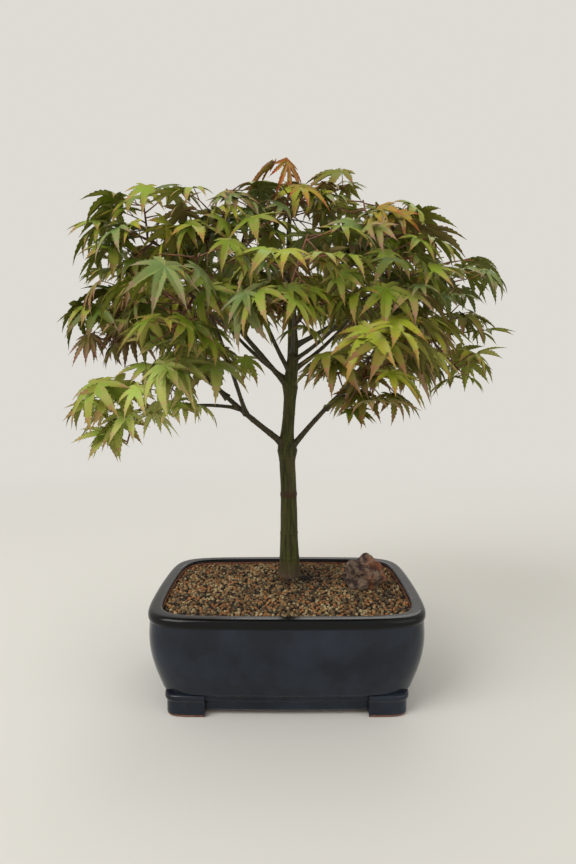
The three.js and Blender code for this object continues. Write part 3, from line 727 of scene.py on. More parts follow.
for name, (carrier, along, tip, (root_radius, tip_radius), bend) in BOUGHS.items():
    root = limbs[carrier].at(along)
    middle = (root + np.array(tip)) / 2 + np.array(bend)
    line = bowed(root, middle, np.array(tip))
    length = Limb(line, None).length
    limbs[name] = Limb(line, (
        (0, root_radius * COLLAR_SWELL), (length * COLLAR_SHARE, root_radius), (length, tip_radius),
    ))

stops = np.linspace(0, trunk.length, TRUNK_RINGS)
trunk_line = trunk.at(stops)
trunk_frame = swept(trunk_line, np.ones(TRUNK_RINGS), TRUNK_SIDES)
trunk_skin = []
for stop, centre, ring in zip(stops, trunk_line, trunk_frame):
    radius = trunk.radius(stop)
    grown = []
    for spoke in ring - centre:
        turn = math.atan2(spoke[1], spoke[0])
        extra = bark_relief(stop, turn, radius, TRUNK_SEED, TRUNK_GRAIN)
        lobe = math.cos(ROOT_LOBES * turn + ROOT_LOBE_TURN)
        extra += ROOT_LOBE * lobe * math.exp(-stop / ROOT_LOBE_FADE)
        for height in BUD_RINGS:
            extra += BUD_RING[0] * swelling(stop - height, BUD_RING[1])
        extra += CUT_RING[0] * swelling(stop - CUT_RING_HEIGHT, CUT_RING[1])
        for carrier, along, tip, radii, bend in BOUGHS.values():
            if carrier == "trunk" and abs(stop - along) < SHOULDER_REACH:
                way = np.array(tip) - centre
                facing = (spoke[0] * way[0] + spoke[1] * way[1]) / np.hypot(way[0], way[1])
                extra += (radii[0] * SHOULDER_SHARE * max(0.0, facing) ** 3
                          * swelling(stop - along - SHOULDER_HEIGHT, SHOULDER_WIDTH))
        grown.append(centre + spoke * (radius + extra))
    trunk_skin.append(np.array(grown))
trunk_skin.insert(0, trunk_skin[0] + np.array([0, 0, -TRUNK_SINK]))
trunk_piece = new_piece("trunk_bark", *lofted(trunk_skin), [bark])
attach(trunk_piece, "root")
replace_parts(trunk_piece, "trunk")


# Boughs. Opposite side limbs that leave the trunk at a swollen collar and taper steadily,
# with a faint ring at each old joint. Their bark is dark olive brown.
BOUGH_SIDES = 20
# Relief of their bark, as a share of their radius
BOUGH_GRAIN = 0.1
# How fast the seed of the bark's relief changes with a bough's place on its carrier
BOUGH_SEED_PACE = 90
FEWEST_RINGS = 24
RING_SPACING = 0.0012
# Flare where a bough leaves its limb, as a share of its radius, how far it reaches as a share
# of the limb's radius, and how fast it fades from there
FLARE = 0.55
FLARE_START = 0.8
FLARE_FADE = 0.0045
# Old joints along a bough: their spacing, share of its tip's radius, and half width
JOINT_SPACING = 0.023
JOINT_SHARE = 0.12
JOINT_WIDTH = 0.0012

bough_bark = Finish("bough_bark", Specular_IOR_Level=0.35)
bough_streaks = bough_bark.noise(700, 4)
bough_bark.wear(
    Base_Color=bough_bark.mix(bough_bark.between(bough_streaks, 0.35, 0.65), "#2a2417", "#4d452a"),
    Roughness=0.5 + 0.3 * bough_streaks,
    Normal=bough_bark.bump(bough_bark.noise(1500, 3), 0.0005, 0.7),
)


class Heap:
    """Many small closed shapes that end up as one mesh"""

    def __init__(self):
        self.points = []
        self.faces = []
        self.finish = []
        self.count = 0

    def put(self, points, faces, finish):
        self.points.append(np.asarray(points))
        self.faces += [[self.count + corner for corner in face] for face in faces]
        self.finish += [finish] * len(faces) if isinstance(finish, int) else finish
        self.count += len(points)

    def piece(self, name, finishes, sharp=math.pi):
        points = np.concatenate(self.points)
        return new_piece(name, points, self.faces, finishes, self.finish, sharp)


boughs_heap = Heap()
for name, bough in list(limbs.items())[1:]:
    carrier, along, tip, radii, bend = BOUGHS[name]
    rings = max(FEWEST_RINGS, int(bough.length / RING_SPACING))
    stops = np.linspace(0, bough.length, rings)
    carried = limbs[carrier].radius(along)
    skin_radii = []
    for stop in stops:
        radius = bough.radius(stop)
        radius += FLARE * radii[0] * math.exp(-max(0, stop - carried * FLARE_START) / FLARE_FADE)
        joint = abs((stop / JOINT_SPACING + 0.5) % 1 - 0.5) * JOINT_SPACING
        radius += JOINT_SHARE * radii[1] * swelling(joint, JOINT_WIDTH)
        skin_radii.append(np.array([
            radius + bark_relief(stop, 2 * math.pi * side / BOUGH_SIDES, radius,
                                 along * BOUGH_SEED_PACE, BOUGH_GRAIN)
            for side in range(BOUGH_SIDES)
        ]))
    boughs_heap.put(*lofted(swept(bough.at(stops), skin_radii, BOUGH_SIDES)), 0)
boughs_piece = boughs_heap.piece("boughs_bark", [bough_bark])
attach(boughs_piece, "root")
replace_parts(boughs_piece, *[f"bough_{name}" for name in BOUGHS])


# Twigs. Each limb carries on as a stem with opposite shoots, whose joints bear short fine
# twigs. They grow by the rule and the seeds of the solids, carried one step finer. The bark
# is smooth, brown on the stems and dark red on what grew this year.

# Each mass of foliage: the limb that feeds it, its centre and reach, its mix of tones, the
# growth of its leaves, and the share of its sprays that are bare
MASSES = {
    "low_left": ("low_left_outer", (-0.149, -0.004, 0.266), 0.078, "young", 1.8, 0.9),
    "low_left_inner": ("low_left", (-0.092, -0.042, 0.3), 0.074, "young", 1.15, 0.65),
    "left": ("left", (-0.14, -0.018, 0.348), 0.076, "warm", 1.05, 0.35),
    "upper_left": ("upper_left", (-0.142, 0.014, 0.431), 0.08, "sunny", 1.1, 0.3),
    "top_left": ("top_left", (-0.062, -0.026, 0.434), 0.074, "top", 1.05, 0.1),
    "crown": ("trunk", (0.008, 0.026, 0.477), 0.076, "top", 0.9, 0.15),
    "top_right": ("top_right", (0.08, -0.018, 0.43), 0.078, "top", 1.0, 0.1),
    "right_shoulder": ("right_shoulder", (0.141, 0.01, 0.402), 0.08, "full", 1.0, 0.65),
    "right": ("low_right", (0.147, -0.004, 0.334), 0.078, "olive", 0.95, 0.6),
    "front_left": ("front_left", (-0.076, -0.104, 0.356), 0.08, "full", 1.05, 0.4),
    "front": ("front", (0.002, -0.1, 0.368), 0.08, "bright", 1.0, 0.3),
    "mid_right": ("mid_right", (0.084, -0.076, 0.372), 0.076, "bright", 0.95, 0.4),
    "front_right": ("front_right", (0.07, -0.098, 0.314), 0.08, "olive", 1.1, 0.4),
    "rear_left": ("rear_left", (-0.108, 0.092, 0.364), 0.084, "full", 1.0, 0.3),
    "rear": ("rear", (0, 0.1, 0.402), 0.084, "top", 1.0, 0.3),
    "rear_right": ("rear_right", (0.108, 0.092, 0.36), 0.084, "warm", 1.0, 0.45),
}
FLATNESS = 0.78
FIRST_SEED = 101
SEED_STEP = 37
GAP = 0.0003
UP = np.array([0, 0, 1.0])
# Stem: how far it runs past the middle, how long it keeps the limb's heading, how deep it is
# rooted in the limb, and how much thicker it is there
STEM_PAST_CENTRE = 0.25
STEM_KNEE = 0.45
STEM_ROOT = 0.002
STEM_SWELL = 1.02
STEM_SIDES = 8
STEM_FINISH = 0
# Shoots: pairs along the stem, their lean, length, cutting back and radii
SHOOTS = 4
FIRST_PAIR = 0.3
PAIR_STRETCH = 0.8
PAIR_STAGGER = 0.08
PAIR_TWIST = 1.2
TWIST_SPREAD = (-0.4, 0.4)
SHOOT_LEAN = (0.3, 0.9)
SHOOT_SHARE = 0.5
SHOOT_SPREAD = (0.85, 1.15)
SHOOT_CUTBACK = 0.85
SHORTEST_SHOOT = 0.012
SHOOT_RADIUS = 0.0012
TWIG_RADIUS = 0.0008
SHOOT_BEND = (-0.003, 0.003)
SHOOT_SIDES = 6
SHOOT_STEPS = 10
SHOOT_FINISH = 1
# Joints: distance back from a tip or share of the length, side, and turn in degrees
SHOOT_TIP_JOINTS = ((0.002, 1), (0.006, -1))
SHOOT_TIP_TURN = (20, 45)
SHOOT_JOINTS = ((0.56, 1), (0.44, -1))
SHOOT_TURN = (50, 90)
STEM_TIP_TURN = (10, 35)
STEM_JOINTS = ((0.62, 1), (0.55, -1))
STEM_TURN = (60, 100)
# How the leaves of a joint stand: lift and length of the stalk, hang and roll in degrees
STALK_LENGTH = 0.017
STALK_LIFT = (0.1, 0.5)
STALK_SPREAD = (0.75, 1.25)
LEAF_HANG = (15, 60)
LEAF_ROLL = (-22, 22)
# Room kept inside a mass's space by shoot tips and twigs, and room kept to limbs
TIP_MARGIN = 0.014
TWIG_MARGIN = 0.0018
TWIG_PAD = 0.002
BEAD_SPACING = 0.003
TWIG_TEST_SPACING = 0.002
# Finer growth: a short twig at each joint, and side twigs further in on each shoot, with
# smaller leaves
FINE_SEED = 7000
FINE_TWIG = (0.007, 0.018)
FINE_RADIUS = 0.0005
FINE_ARCH = 0.0006
FINE_SIDES = 5
FINE_STEPS = 4
INNER_PLACES = (0.2, 0.34, 0.7, 0.86)
INNER_TWIG = (0.013, 0.034)
INNER_TURN = (35, 100)
INNER_LIFT = (-1.1, 0.9)
INNER_BEND = 0.5
INNER_STEPS = 5
# Masses whose side twigs hang lower
DROOPING = {"front_right": 0.9, "low_left": 0.3, "front": 0.3}
# Masses that have lost a share of their side twigs, and every fine twig without leaves
THINNED = {"low_left": 0.7}
INNER_LEAF = 0.7
# Fine twigs and leaves keep under a roof that falls to the front and back of its ridge
ROOF_RIDGE = (0.03, 0.495)
ROOF_SLOPE = 0.33
ROOF_ROOM = 0.003

stem_bark = patched("twig_stem", 0.65, (600, 4), "#332a1a", "#5b4d30", (1800, 3, 0.0003))
shoot_bark = patched("twig_shoot", 0.5, (260, 3), "#4e2d1f", "#7d4e30", (2400, 2, 0.0002))


class Dice:
    """Seeded numbers, the same as the ones that grew the solids"""

    def __init__(self, seed):
        self.state = seed

    def roll(self):
        self.state = (self.state * 1664525 + 1013904223) % 2 ** 32
        return self.state / 2 ** 32

    def spread(self, limits):
        return limits[0] + (limits[1] - limits[0]) * self.roll()

    def degrees(self, limits):
        return math.radians(self.spread(limits))


centres = np.array([row[1] for row in MASSES.values()])
reaches = np.array([row[2] for row in MASSES.values()])
stretch = np.array([1, 1, 1 / FLATNESS])


def powers(points):
    """How far points are past each mass's surface, squared: one row for each point"""
    away = (np.atleast_2d(points)[:, None] - centres) * stretch
    return (away ** 2).sum(axis=2) - reaches ** 2


def in_space(points, own, margin):
    """Inside a mass's ball and on its own side of the plane towards each neighbour"""
    power = powers(points)
    gap = np.linalg.norm((centres - centres[own]) * stretch, axis=1)
    clear = power - power[:, own:own + 1] > 2 * margin * gap
    clear[:, own] = power[:, own] <= -2 * margin * reaches[own]
    return clear.all()


bead_names, bead_centres, bead_radii = map(np.array, zip(*[
    (name, limb.at(stop), limb.radius(stop)) for name, limb in limbs.items()
    for stop in np.linspace(0, limb.length, math.ceil(limb.length / BEAD_SPACING) + 1)
]))


def touches_limb(points, pad, spared=""):
    away = np.linalg.norm(np.atleast_2d(points)[:, None] - bead_centres, axis=2)
    return bool(((away < bead_radii + pad) & (bead_names != spared)).any())


def twig_is_clear(start, end, own, spared):
    count = math.ceil(np.linalg.norm(end - start) / TWIG_TEST_SPACING)
    places = start + (end - start) * np.linspace(0, 1, count + 1)[:, None]
    return in_space(places, own, TWIG_MARGIN) and not touches_limb(places, TWIG_PAD, spared)


def above_roof(points, room=ROOF_ROOM):
    along, height = np.atleast_2d(points)[:, 1:].T
    return (height + room > ROOF_RIDGE[1] - ROOF_SLOPE * abs(along - ROOF_RIDGE[0])).any()


def turned(vector, axis, angle):
    """A vector turned about an axis"""
    return (vector * math.cos(angle) + np.cross(axis, vector) * math.sin(angle)
            + axis * (axis @ vector) * (1 - math.cos(angle)))


def stem_of(limb, centre, reach):
    """The line on which a limb carries on through its mass"""
    forward = limb.heading(limb.length)
    start = limb.at(limb.length) + forward * GAP
    end = centre + unit(centre - start) * reach * STEM_PAST_CENTRE
    knee = start + forward * np.linalg.norm(end - start) * STEM_KNEE
    return Limb(bowed(start, knee, end), None)


def shoots_of(stem, own, reach, spared, dice):
    """A mass's shoots, and the joints where leaves stand, with the last joint of each marked"""
    outward = unit(centres[own] - stem.points[0])
    shoots = []
    joints = []

    def add_joint(spot, way, hand, turns, last=False):
        joints.append((spot, way, hand * dice.degrees(turns), last))

    for number in range(SHOOTS):
        pair = number // 2
        side = 1 if number % 2 == 0 else -1
        share = FIRST_PAIR + PAIR_STRETCH * (pair + PAIR_STAGGER * side) / (SHOOTS / 2)
        root = stem.at(share * stem.length)
        axis = stem.heading(share * stem.length)
        across = unit(np.cross(UP, axis))
        twist = (pair % 2) * PAIR_TWIST + dice.spread(TWIST_SPREAD)
        aim = unit(across * math.cos(twist) * side
                   + np.cross(axis, across) * math.sin(twist) * side
                   + axis * dice.spread(SHOOT_LEAN))
        length = reach * SHOOT_SHARE * dice.spread(SHOOT_SPREAD)
        tip = root + aim * length
        while length > SHORTEST_SHOOT and not (
                in_space(tip, own, TIP_MARGIN) and twig_is_clear(root, tip, own, spared)
                and not above_roof(tip)):
            length *= SHOOT_CUTBACK
            tip = root + aim * length
        if length > SHORTEST_SHOOT:
            shoots.append((root, tip, aim))
            for back, hand in SHOOT_TIP_JOINTS:
                add_joint(tip - aim * back, aim, hand, SHOOT_TIP_TURN, hand > 0)
            for place, hand in SHOOT_JOINTS:
                add_joint(root + (tip - root) * place, aim, hand, SHOOT_TURN)
    for back, hand in SHOOT_TIP_JOINTS:
        add_joint(stem.at(stem.length - back), outward, hand, STEM_TIP_TURN, hand > 0)
    for place, hand in STEM_JOINTS:
        add_joint(stem.at(place * stem.length), outward, hand, STEM_TURN)
    return shoots, joints


twigs = Heap()


def put_twig(line, start_radius, end_radius, sides, finish):
    """A tapering twig along a line"""
    twigs.put(*lofted(swept(line, np.linspace(start_radius, end_radius, len(line)), sides)), finish)


# A fine twig's line, how the pair of leaves at its end stands, and whether it is a shoot's last
Spray = namedtuple("Spray", "mass twig heading lift hang roll stalk size last")

sprays = []
stems = {}
for own, (name, (limb_name, centre, reach, *_)) in enumerate(MASSES.items()):
    dice = Dice(FIRST_SEED + own * SEED_STEP)
    fine = Dice(FINE_SEED + own)
    limb = limbs[limb_name]
    stem = stem_of(limb, np.array(centre), reach)
    stems[name] = stem
    shoots, joints = shoots_of(stem, own, reach, limb_name, dice)
    rooted = np.vstack([stem.points[0] - limb.heading(limb.length) * STEM_ROOT, stem.points])
    put_twig(rooted, limb.radius(limb.length) * STEM_SWELL, SHOOT_RADIUS, STEM_SIDES, STEM_FINISH)
    for root, tip, aim in shoots:
        aside = np.cross(aim, UP) * fine.spread(SHOOT_BEND) + UP * fine.spread(SHOOT_BEND)
        shoot = bowed(root, (root + tip) / 2 + aside, tip, SHOOT_STEPS)
        put_twig(shoot, SHOOT_RADIUS, TWIG_RADIUS, SHOOT_SIDES, SHOOT_FINISH)
        for number, place in enumerate(INNER_PLACES):
            node = shoot[round(place * SHOOT_STEPS)]
            side = 1 if number % 2 == 0 else -1
            heading = turned(unit(aim * (1, 1, 0)), UP, side * fine.degrees(INNER_TURN))
            lift = fine.spread(INNER_LIFT) - DROOPING.get(name, 0)
            end = node + unit(heading + UP * lift) * fine.spread(INNER_TWIG)
            hang, roll = fine.degrees(LEAF_HANG), fine.degrees(LEAF_ROLL)
            lost = fine.roll() < THINNED.get(name, 0)
            if not lost and twig_is_clear(node, end, own, "") and not above_roof(end):
                twig = bowed(node, (node + end) / 2 + aside * INNER_BEND, end, INNER_STEPS)
                sprays.append(Spray(name, twig, heading, lift, hang, roll,
                                    STALK_LENGTH * INNER_LEAF, INNER_LEAF, False))
    for node, aim, turn, last in joints:
        lift = dice.spread(STALK_LIFT)
        hang = dice.degrees(LEAF_HANG)
        roll = dice.degrees(LEAF_ROLL)
        stalk = STALK_LENGTH * dice.spread(STALK_SPREAD)
        heading = turned(unit(aim * (1, 1, 0)), UP, turn)
        end = node + unit(heading + UP * lift) * fine.spread(FINE_TWIG)
        if not above_roof(end):
            twig = bowed(node, (node + end) / 2 + UP * FINE_ARCH, end, FINE_STEPS)
            sprays.append(Spray(name, twig, heading, lift, hang, roll, stalk, 1, last))


# Leaves. Opposite pairs on thin stalks, each a hand of seven lobes with toothed edges and
# long points. They are green at the heart and flushed with bronze or pink at the points,
# pale and large on the low left branch, where the pale is partly painted light, and darker,
# smaller or rusty further in.

# Lobes and the notches between them are rays from the heel, each with its turn in degrees
# and its share of the leaf's length
LOBE_TURNS = (-126, -83, -41, 0, 41, 83, 126)
LOBE_SHARES = (0.34, 0.68, 0.9, 1, 0.9, 0.68, 0.34)
TURN_SPREAD = (-5, 5)
SHARE_SPREAD = (0.9, 1.06)
SMALL_LOBE = 0.5
NOTCH_SHARE = 0.32
HEEL_SHARE = 0.05
# Toothed edge of half a lobe, as shares of the lobe along and aside, and the plain edge of the
# small lobes
LOBE_EDGE = (
    (0.42, 0.120), (0.435, 0.092), (0.53, 0.122), (0.545, 0.088), (0.64, 0.100),
    (0.655, 0.064), (0.74, 0.070), (0.755, 0.040), (0.84, 0.036), (0.855, 0.018),
)
SMALL_LOBE_EDGE = ((0.62, 0.19),)
VEIN_STOPS = (0.36, 0.66)
BLADE_THICKNESS = 0.00035
LEAF_LENGTH = 0.040
LEAF_SPREAD = (0.72, 1.22)
LEAF_CURL = (0.35, 1.2)
LOBE_CURL = (0.7, 1.4)
LEAF_FOLD = (0.15, 0.55)
NOTCH_FOLD = 0.1
PAIR_TURN = (22, 46)
STALK_FOOT = 0.00052
STALK_RADIUS = 0.0004
STALK_ARCH = 0.0015
STALK_SIDES = 5
STALK_STEPS = 5
# Sizes, turns and drops that are tried in order where a leaf finds no room. The small sizes
# are only for the ends of shoots
LEAF_TRIES = [
    (size, aside, drop) for size in (1, 0.85, 0.72, 0.6, 0.48) for drop in (0, -20, 18)
    for aside in (0, 22, -22, 45, -45)
]
USUAL_TRIES = 45
LEAF_PAD = 0.0016
# Room kept to other leaves, as a share of the leaf's length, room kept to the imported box, and
# how far out along a lobe its corners have to keep inside the foliage
LEAF_ROOM = 0.27
BOX_ROOM = 0.0005
OUTER_PART = 0.5
LEAF_SHARP = 55
LEAVES_SEED = 9000
# How a leaf differs from its pair: lift and length of its stalk, slope and roll in degrees
LIFT_SWAY = (-0.15, 0.15)
STALK_SWAY = (0.8, 1.25)
SLOPE_SWAY = (-14, 14)
ROLL_SWAY = (-10, 10)
# A curled leaf stands flatter, and a closed one hangs lower and has narrower lobes
CURL_RISE = 0.3
CLOSED_DROP = 1.1
CLOSED_WIDTH = 0.3

# Tones of a spray: heart, middle and points of the upper side, and the underside, whose pale
# tone is partly its own and partly painted light shining through the blade
ZONES = ("heart", "middle", "point", "under")
LEAF_TONES = {
    "pale": ("#9cb04c", "#a5a854", "#ac9a62", "#a6a860"),
    "fresh": ("#809330", "#8b8d37", "#977b47", "#909246"),
    "leaf": ("#6e801d", "#797d23", "#846d32", "#838738"),
    "deep": ("#4e5e1a", "#565c1c", "#655126", "#6a6e2f"),
    "lime": ("#8c9526", "#93902b", "#9a7938", "#979648"),
    "sheen": ("#6b7e42", "#777e46", "#897757", "#7f874b"),
    "olive": ("#6d7124", "#766b29", "#805c38", "#79763c"),
    "bronze": ("#7c8138", "#897844", "#916e54", "#8b7c4c"),
    "rust": ("#7a7034", "#7d6138", "#78503c", "#7f6948"),
    "turning": ("#918427", "#9c7a2b", "#9c5a2e", "#967f42"),
    "new": ("#9c8f35", "#a8642c", "#963524", "#a87a48"),
}
# Odds of the tones in a mass
LEAF_MIXES = {
    "sunny": {"lime": 4, "fresh": 4, "leaf": 4, "sheen": 3, "bronze": 2, "deep": 2},
    # The young mix's pale tone is partly fresh young leaves and partly painted light
    "young": {"pale": 10, "fresh": 4, "leaf": 1},
    "top": {"leaf": 5, "sheen": 5, "deep": 3, "lime": 2, "bronze": 4, "fresh": 2, "turning": 1},
    "full": {"leaf": 7, "fresh": 3, "deep": 4, "sheen": 3, "lime": 1, "bronze": 2},
    "bright": {"fresh": 4, "leaf": 7, "lime": 3, "sheen": 2, "bronze": 2, "deep": 2},
    "olive": {"leaf": 5, "olive": 6, "bronze": 1, "lime": 4, "fresh": 1, "rust": 1},
    "warm": {"leaf": 5, "deep": 3, "bronze": 3, "fresh": 2, "lime": 1, "rust": 8},
}
# How far the lobes of a spray are spread, and the tones whose lobes hang partly closed
OPEN = (0.92, 1.05)
CLOSED = {"rust": (0.4, 0.65)}

leaf_finishes = {}
for kind, codes in LEAF_TONES.items():
    for zone, code in zip(ZONES, codes):
        leaf_finishes[kind, zone] = Finish(
            f"leaf_{kind}_{zone}", Base_Color=code,
            Roughness=0.62 if zone == "under" else 0.46,
            Specular_IOR_Level=0.14 if zone == "under" else 0.23,
        )
stalk_finish = Finish("leaf_stalk", Roughness=0.5)
stalk_finish.wear(Base_Color=stalk_finish.mix(stalk_finish.patches(120, 3), "#7a3f2c", "#97703f"))


def leaf_plan():
    """Corners of a leaf as ray, share along it, share aside and whether it lies under, and
    its faces with the zone of each"""
    corners = []
    faces = []
    notch_ray = len(LOBE_TURNS)
    heel_ray = notch_ray + len(LOBE_TURNS) - 1

    def corner(ray, along, aside, under=False):
        corners.append((ray, along, aside, under))
        return len(corners) - 1

    heart = corner(0, 0, 0), corner(0, 0, 0, True)
    heel = corner(heel_ray, 1, 0)
    notches = [corner(notch_ray + gap, 1, 0) for gap in range(len(LOBE_TURNS) - 1)]
    bounds = [heel] + notches + [heel]
    for lobe, share in enumerate(LOBE_SHARES):
        small = share < SMALL_LOBE
        tip = corner(lobe, 1, 0)
        veins = [] if small else [
            (corner(lobe, stop, 0), corner(lobe, stop, 0, True)) for stop in VEIN_STOPS
        ]
        for side in (-1, 1):
            rule = SMALL_LOBE_EDGE if small else LOBE_EDGE
            edge = [corner(lobe, along, aside * side) for along, aside in rule]
            bound = bounds[lobe] if side < 0 else bounds[lobe + 1]
            if small:
                loops = [([heart[0], bound, *edge, tip], 1)]
            else:
                low, high = [vein[0] for vein in veins]
                loops = [
                    ([heart[0], bound, *edge[:2], low], 0), ([low, *edge[1:6], high], 1),
                    ([high, *edge[5:], tip], 2),
                ]
            for loop, zone in loops:
                faces.append((loop[::-side], zone))
            below = [heart[1], bound, *edge, tip] + [vein[1] for vein in reversed(veins)]
            faces.append((below[::side], 3))
    return corners, faces


PLAN_CORNERS, PLAN_FACES = leaf_plan()
PLAN_RAY, PLAN_ALONG, PLAN_ASIDE, PLAN_UNDER = [np.array(row) for row in zip(*PLAN_CORNERS)]
FACE_CORNERS = [face for face, zone in PLAN_FACES]
FACE_ZONES = [zone for face, zone in PLAN_FACES]


def blade(length, curl, fold, openness, width, dice):
    """Corners of one leaf in its own space: its middle lobe along +X, its upper side +Z"""
    turns = [(turn + dice.spread(TURN_SPREAD)) * openness for turn in LOBE_TURNS]
    shares = [share * dice.spread(SHARE_SPREAD) for share in LOBE_SHARES]
    curls = [curl * dice.spread(LOBE_CURL) for _ in LOBE_TURNS]
    for first in range(len(LOBE_TURNS) - 1):
        turns.append((turns[first] + turns[first + 1]) / 2)
        shares.append(NOTCH_SHARE * width * (shares[first] + shares[first + 1]) / 2)
        curls.append((curls[first] + curls[first + 1]) / 2)
    turns.append(180)
    shares.append(HEEL_SHARE)
    curls.append(curl)
    turn = np.radians(turns)[PLAN_RAY]
    share = np.array(shares)[PLAN_RAY]
    bend = np.array(curls)[PLAN_RAY]
    out = share * PLAN_ALONG
    flat = np.sin(bend * out) / bend
    drop = (1 - np.cos(bend * out)) / bend
    aside = share * PLAN_ASIDE * width
    rise = fold * abs(aside)
    rise[PLAN_RAY >= len(LOBE_TURNS)] += fold * NOTCH_FOLD
    points = length * np.column_stack([
        flat * np.cos(turn) - aside * np.sin(turn),
        flat * np.sin(turn) + aside * np.cos(turn),
        rise - drop,
    ])
    points[PLAN_UNDER, 2] -= BLADE_THICKNESS
    return points


def stood(shape, base, heading, slope, roll):
    """A leaf's corners once it stands at its stalk's end, heading out and sloping down"""
    axis = heading * math.cos(slope) - UP * math.sin(slope)
    side = turned(unit(np.cross(UP, axis)), axis, roll)
    return base + shape @ np.array([axis, side, np.cross(axis, side)])


class Leaves(Heap):
    """The leaves of one mass, with the list of tones that they use"""

    def __init__(self):
        super().__init__()
        self.tones = []

    def hang(self, node, base, points, kind):
        """Adds a leaf and the stalk that carries it from its joint"""
        for zone in ZONES:
            if (kind, zone) not in self.tones:
                self.tones.append((kind, zone))
        rows = [self.tones.index((kind, zone)) for zone in ZONES]
        self.put(points, FACE_CORNERS, [rows[zone] for zone in FACE_ZONES])
        line = bowed(node, (node + base) / 2 + UP * STALK_ARCH, base, STALK_STEPS)
        radii = np.linspace(STALK_FOOT, STALK_RADIUS, len(line))
        stalks.put(*lofted(swept(line, radii, STALK_SIDES)), 0)

    def finished(self, name):
        finishes = [leaf_finishes[key] for key in self.tones]
        piece = self.piece(name, finishes, math.radians(LEAF_SHARP))
        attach(piece, "root")
        return piece


box_low = np.array(cad_box[0]) + BOX_ROOM
box_high = np.array(cad_box[1]) - BOX_ROOM
stalks = Heap()
leaf_places = []


def place_leaf(spray, way, lift, slope, roll, stalk, size, shape):
    """Where a leaf first finds room: the end of its stalk and its corners"""
    for share, aside, drop in LEAF_TRIES[:None if spray.last else USUAL_TRIES]:
        heading = turned(way, UP, math.radians(aside))
        base = spray.twig[-1] + unit(heading + UP * lift) * stalk * share
        points = stood(shape * share, base, heading, slope + math.radians(drop), roll)
        outer = points[PLAN_ALONG > OUTER_PART]
        heart = points[PLAN_ALONG > 0].mean(axis=0)
        room = LEAF_ROOM * size * share
        if not (
            (powers(outer).min(axis=1) >= 0).any() or above_roof(outer, 0)
            or (outer < box_low).any() or (outer > box_high).any()
            or any(np.linalg.norm(heart - other) < room for other in leaf_places)
            or touches_limb(points, LEAF_PAD)
        ):
            leaf_places.append(heart)
            return base, points
    return None


for own, (name, (*_, mix, growth, bare)) in enumerate(MASSES.items()):
    dice = Dice(LEAVES_SEED + own)
    leaves = Leaves()
    kinds = [kind for kind, odds in LEAF_MIXES[mix].items() for _ in range(odds)]
    for spray in sprays:
        if spray.mass != name:
            continue
        kind = kinds[int(dice.roll() * len(kinds))]
        openness = dice.spread(CLOSED.get(kind, OPEN))
        width = CLOSED_WIDTH + (1 - CLOSED_WIDTH) * openness
        is_bare = dice.roll() < bare and not spray.last
        if not (is_bare and name in THINNED):
            put_twig(spray.twig, TWIG_RADIUS, FINE_RADIUS, FINE_SIDES, SHOOT_FINISH)
        if is_bare:
            continue
        for hand in (-1, 1):
            way = turned(spray.heading, UP, hand * dice.degrees(PAIR_TURN))
            size = LEAF_LENGTH * growth * spray.size * dice.spread(LEAF_SPREAD)
            curl = dice.spread(LEAF_CURL)
            shape = blade(size, curl, dice.spread(LEAF_FOLD), openness, width, dice)
            slope = spray.hang + dice.degrees(SLOPE_SWAY) - CURL_RISE * curl
            slope += CLOSED_DROP * (1 - openness)
            found = place_leaf(spray, way, spray.lift + dice.spread(LIFT_SWAY), slope,
                               spray.roll + dice.degrees(ROLL_SWAY),
                               spray.stalk * dice.spread(STALK_SWAY), size, shape)
            if found:
                leaves.hang(spray.twig[-1], *found, kind)
    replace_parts(leaves.finished(f"leaves_{name}"), f"foliage_{name}")


# New growth. The leader's red shoot of this spring stands out of the top of the crown. Its
# narrow leaves have not opened yet: they hang folded, orange with dark red points. Next to it
# a few young leaves rise above the crown on long red stalks.
RIGHT = np.array([1.0, 0, 0])
LEADER_TIP = np.array([-0.004, 0.010, 0.505])
LEADER_KNEE = (0.9, 0.5, 0.4)
LEADER_STEPS = 12
# Each leaf's heading and slope in degrees, the length of its stalk, and its own length
NEW_LEAVES = ((188, 30, 0.007, 0.055), (306, 67, 0.005, 0.050))
NEW_OPENNESS = 0.56
NEW_WIDTH = 0.5
NEW_CURL = 0.7
NEW_FOLD = 0.5
# Young leaves: where the spray they rise from lies, their stalk, heading, slope and roll in
# degrees, length and tone
RISING_LEAVES = (
    ((1, -0.4, 0.6), (-0.002, -0.006, 0.013), 200, 16, -30, 0.047, "olive"),
    ((0.4, -1, 0.6), (0.018, -0.004, -0.004), -25, 24, 26, 0.036, "turning"),
)
NEW_SEED = 31

dice = Dice(NEW_SEED)
leader_root = stems["crown"].points[-1]
leader = bowed(leader_root, leader_root + (LEADER_TIP - leader_root) * LEADER_KNEE,
               LEADER_TIP, LEADER_STEPS)
put_twig(leader, SHOOT_RADIUS, FINE_RADIUS, SHOOT_SIDES, SHOOT_FINISH)
new_leaves = Leaves()
for heading_turn, slope, stalk, length in NEW_LEAVES:
    heading = turned(RIGHT, UP, math.radians(heading_turn))
    base = LEADER_TIP + heading * stalk
    shape = blade(length, NEW_CURL, NEW_FOLD, NEW_OPENNESS, NEW_WIDTH, dice)
    new_leaves.hang(LEADER_TIP, base, stood(shape, base, heading, math.radians(slope), 0), "new")
crown_ends = [spray.twig[-1] for spray in sprays if spray.mass == "crown"]
for side, stalk, heading_turn, slope, roll, length, kind in RISING_LEAVES:
    root = max(crown_ends, key=lambda end: end @ np.array(side))
    base = root + np.array(stalk)
    heading = turned(RIGHT, UP, math.radians(heading_turn))
    shape = blade(length, NEW_CURL, NEW_FOLD, 1, 1, dice)
    points = stood(shape, base, heading, math.radians(slope), math.radians(roll))
    new_leaves.hang(root, base, points, kind)
new_leaves.finished("leaves_new_growth")

for piece in (twigs.piece("twigs", [stem_bark, shoot_bark]),
              stalks.piece("leaf_stalks", [stalk_finish])):
    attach(piece, "root")


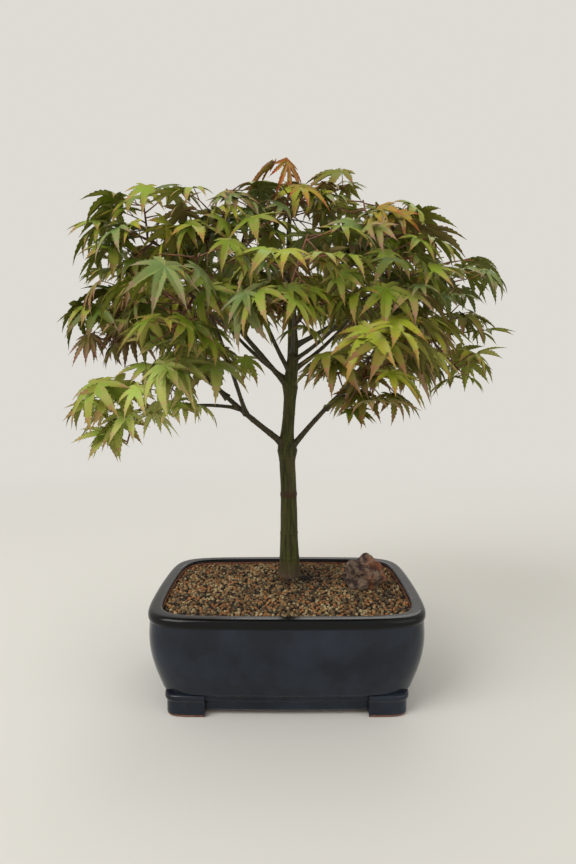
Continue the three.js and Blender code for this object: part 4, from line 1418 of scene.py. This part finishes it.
# Studio. A pale floor that fades into the backdrop, soft light from the upper left, and a
# camera half way up the tree, as far off as the one that took the picture.
BACKDROP = "#dedbd4"
BLACK = "#000000"
FLOOR_SIDES = 96
FLOOR_RADIUS = 8
FLOOR_FADE = (0.35, 1.7)
AIM = Vector((0, 0, 0.28))
# Lamps: name, place, size and power
LAMPS = (
    ("key", (-1.1, -1.0, 1.5), 1.1, 24), ("fill", (1.4, -1.2, 0.8), 1.6, 7),
    ("back", (0.3, 1.5, 1.4), 1.2, 8),
)
CAMERA_PLACE = (0.001, -0.573, 0.288)
CAMERA_PITCH = math.radians(4.3)
FOCAL_PIXELS = 585
PICTURE_HEIGHT = 864
SENSOR_WIDTH = 36

floor_finish = Finish("floor", Specular_IOR_Level=0, Emission_Strength=1.0)
floor_place = floor_finish.add("VectorMath", {"operation": "LENGTH"}, {0: floor_finish.place()}, 1)
floor_fade = floor_finish.between(floor_place, *FLOOR_FADE)
floor_finish.wear(
    Base_Color=floor_finish.mix(floor_fade, "#cfcdc8", BLACK),
    Emission_Color=floor_finish.mix(floor_fade, BLACK, BACKDROP),
)
turn = round_turns(FLOOR_SIDES)
rim = FLOOR_RADIUS * np.column_stack([np.cos(turn), np.sin(turn), np.zeros(FLOOR_SIDES)])
floor = new_piece("floor", rim, [list(range(FLOOR_SIDES))], [floor_finish])

world = bpy.data.worlds.new("studio")
world.use_nodes = True
background = world.node_tree.nodes["Background"]
background.inputs["Color"].default_value = tone(BACKDROP)
background.inputs["Strength"].default_value = 1.0
bpy.context.scene.world = world
for name, place, size, power in LAMPS:
    lamp = bpy.data.lights.new(name, "AREA")
    lamp.size = size
    lamp.energy = power
    lamp_object = linked(name, lamp)
    lamp_object.location = place
    lamp_object.rotation_euler = (AIM - Vector(place)).to_track_quat("-Z", "Y").to_euler()

lens = bpy.data.cameras.new("camera")
lens.sensor_width = SENSOR_WIDTH
lens.lens = SENSOR_WIDTH * FOCAL_PIXELS / PICTURE_HEIGHT
lens.clip_start = 0.01
lens.clip_end = 50
camera = linked("camera", lens)
camera.location = CAMERA_PLACE
camera.rotation_euler = (math.pi / 2 - CAMERA_PITCH, 0, 0)
bpy.context.scene.camera = camera
bpy.context.scene.view_settings.view_transform = "Standard"
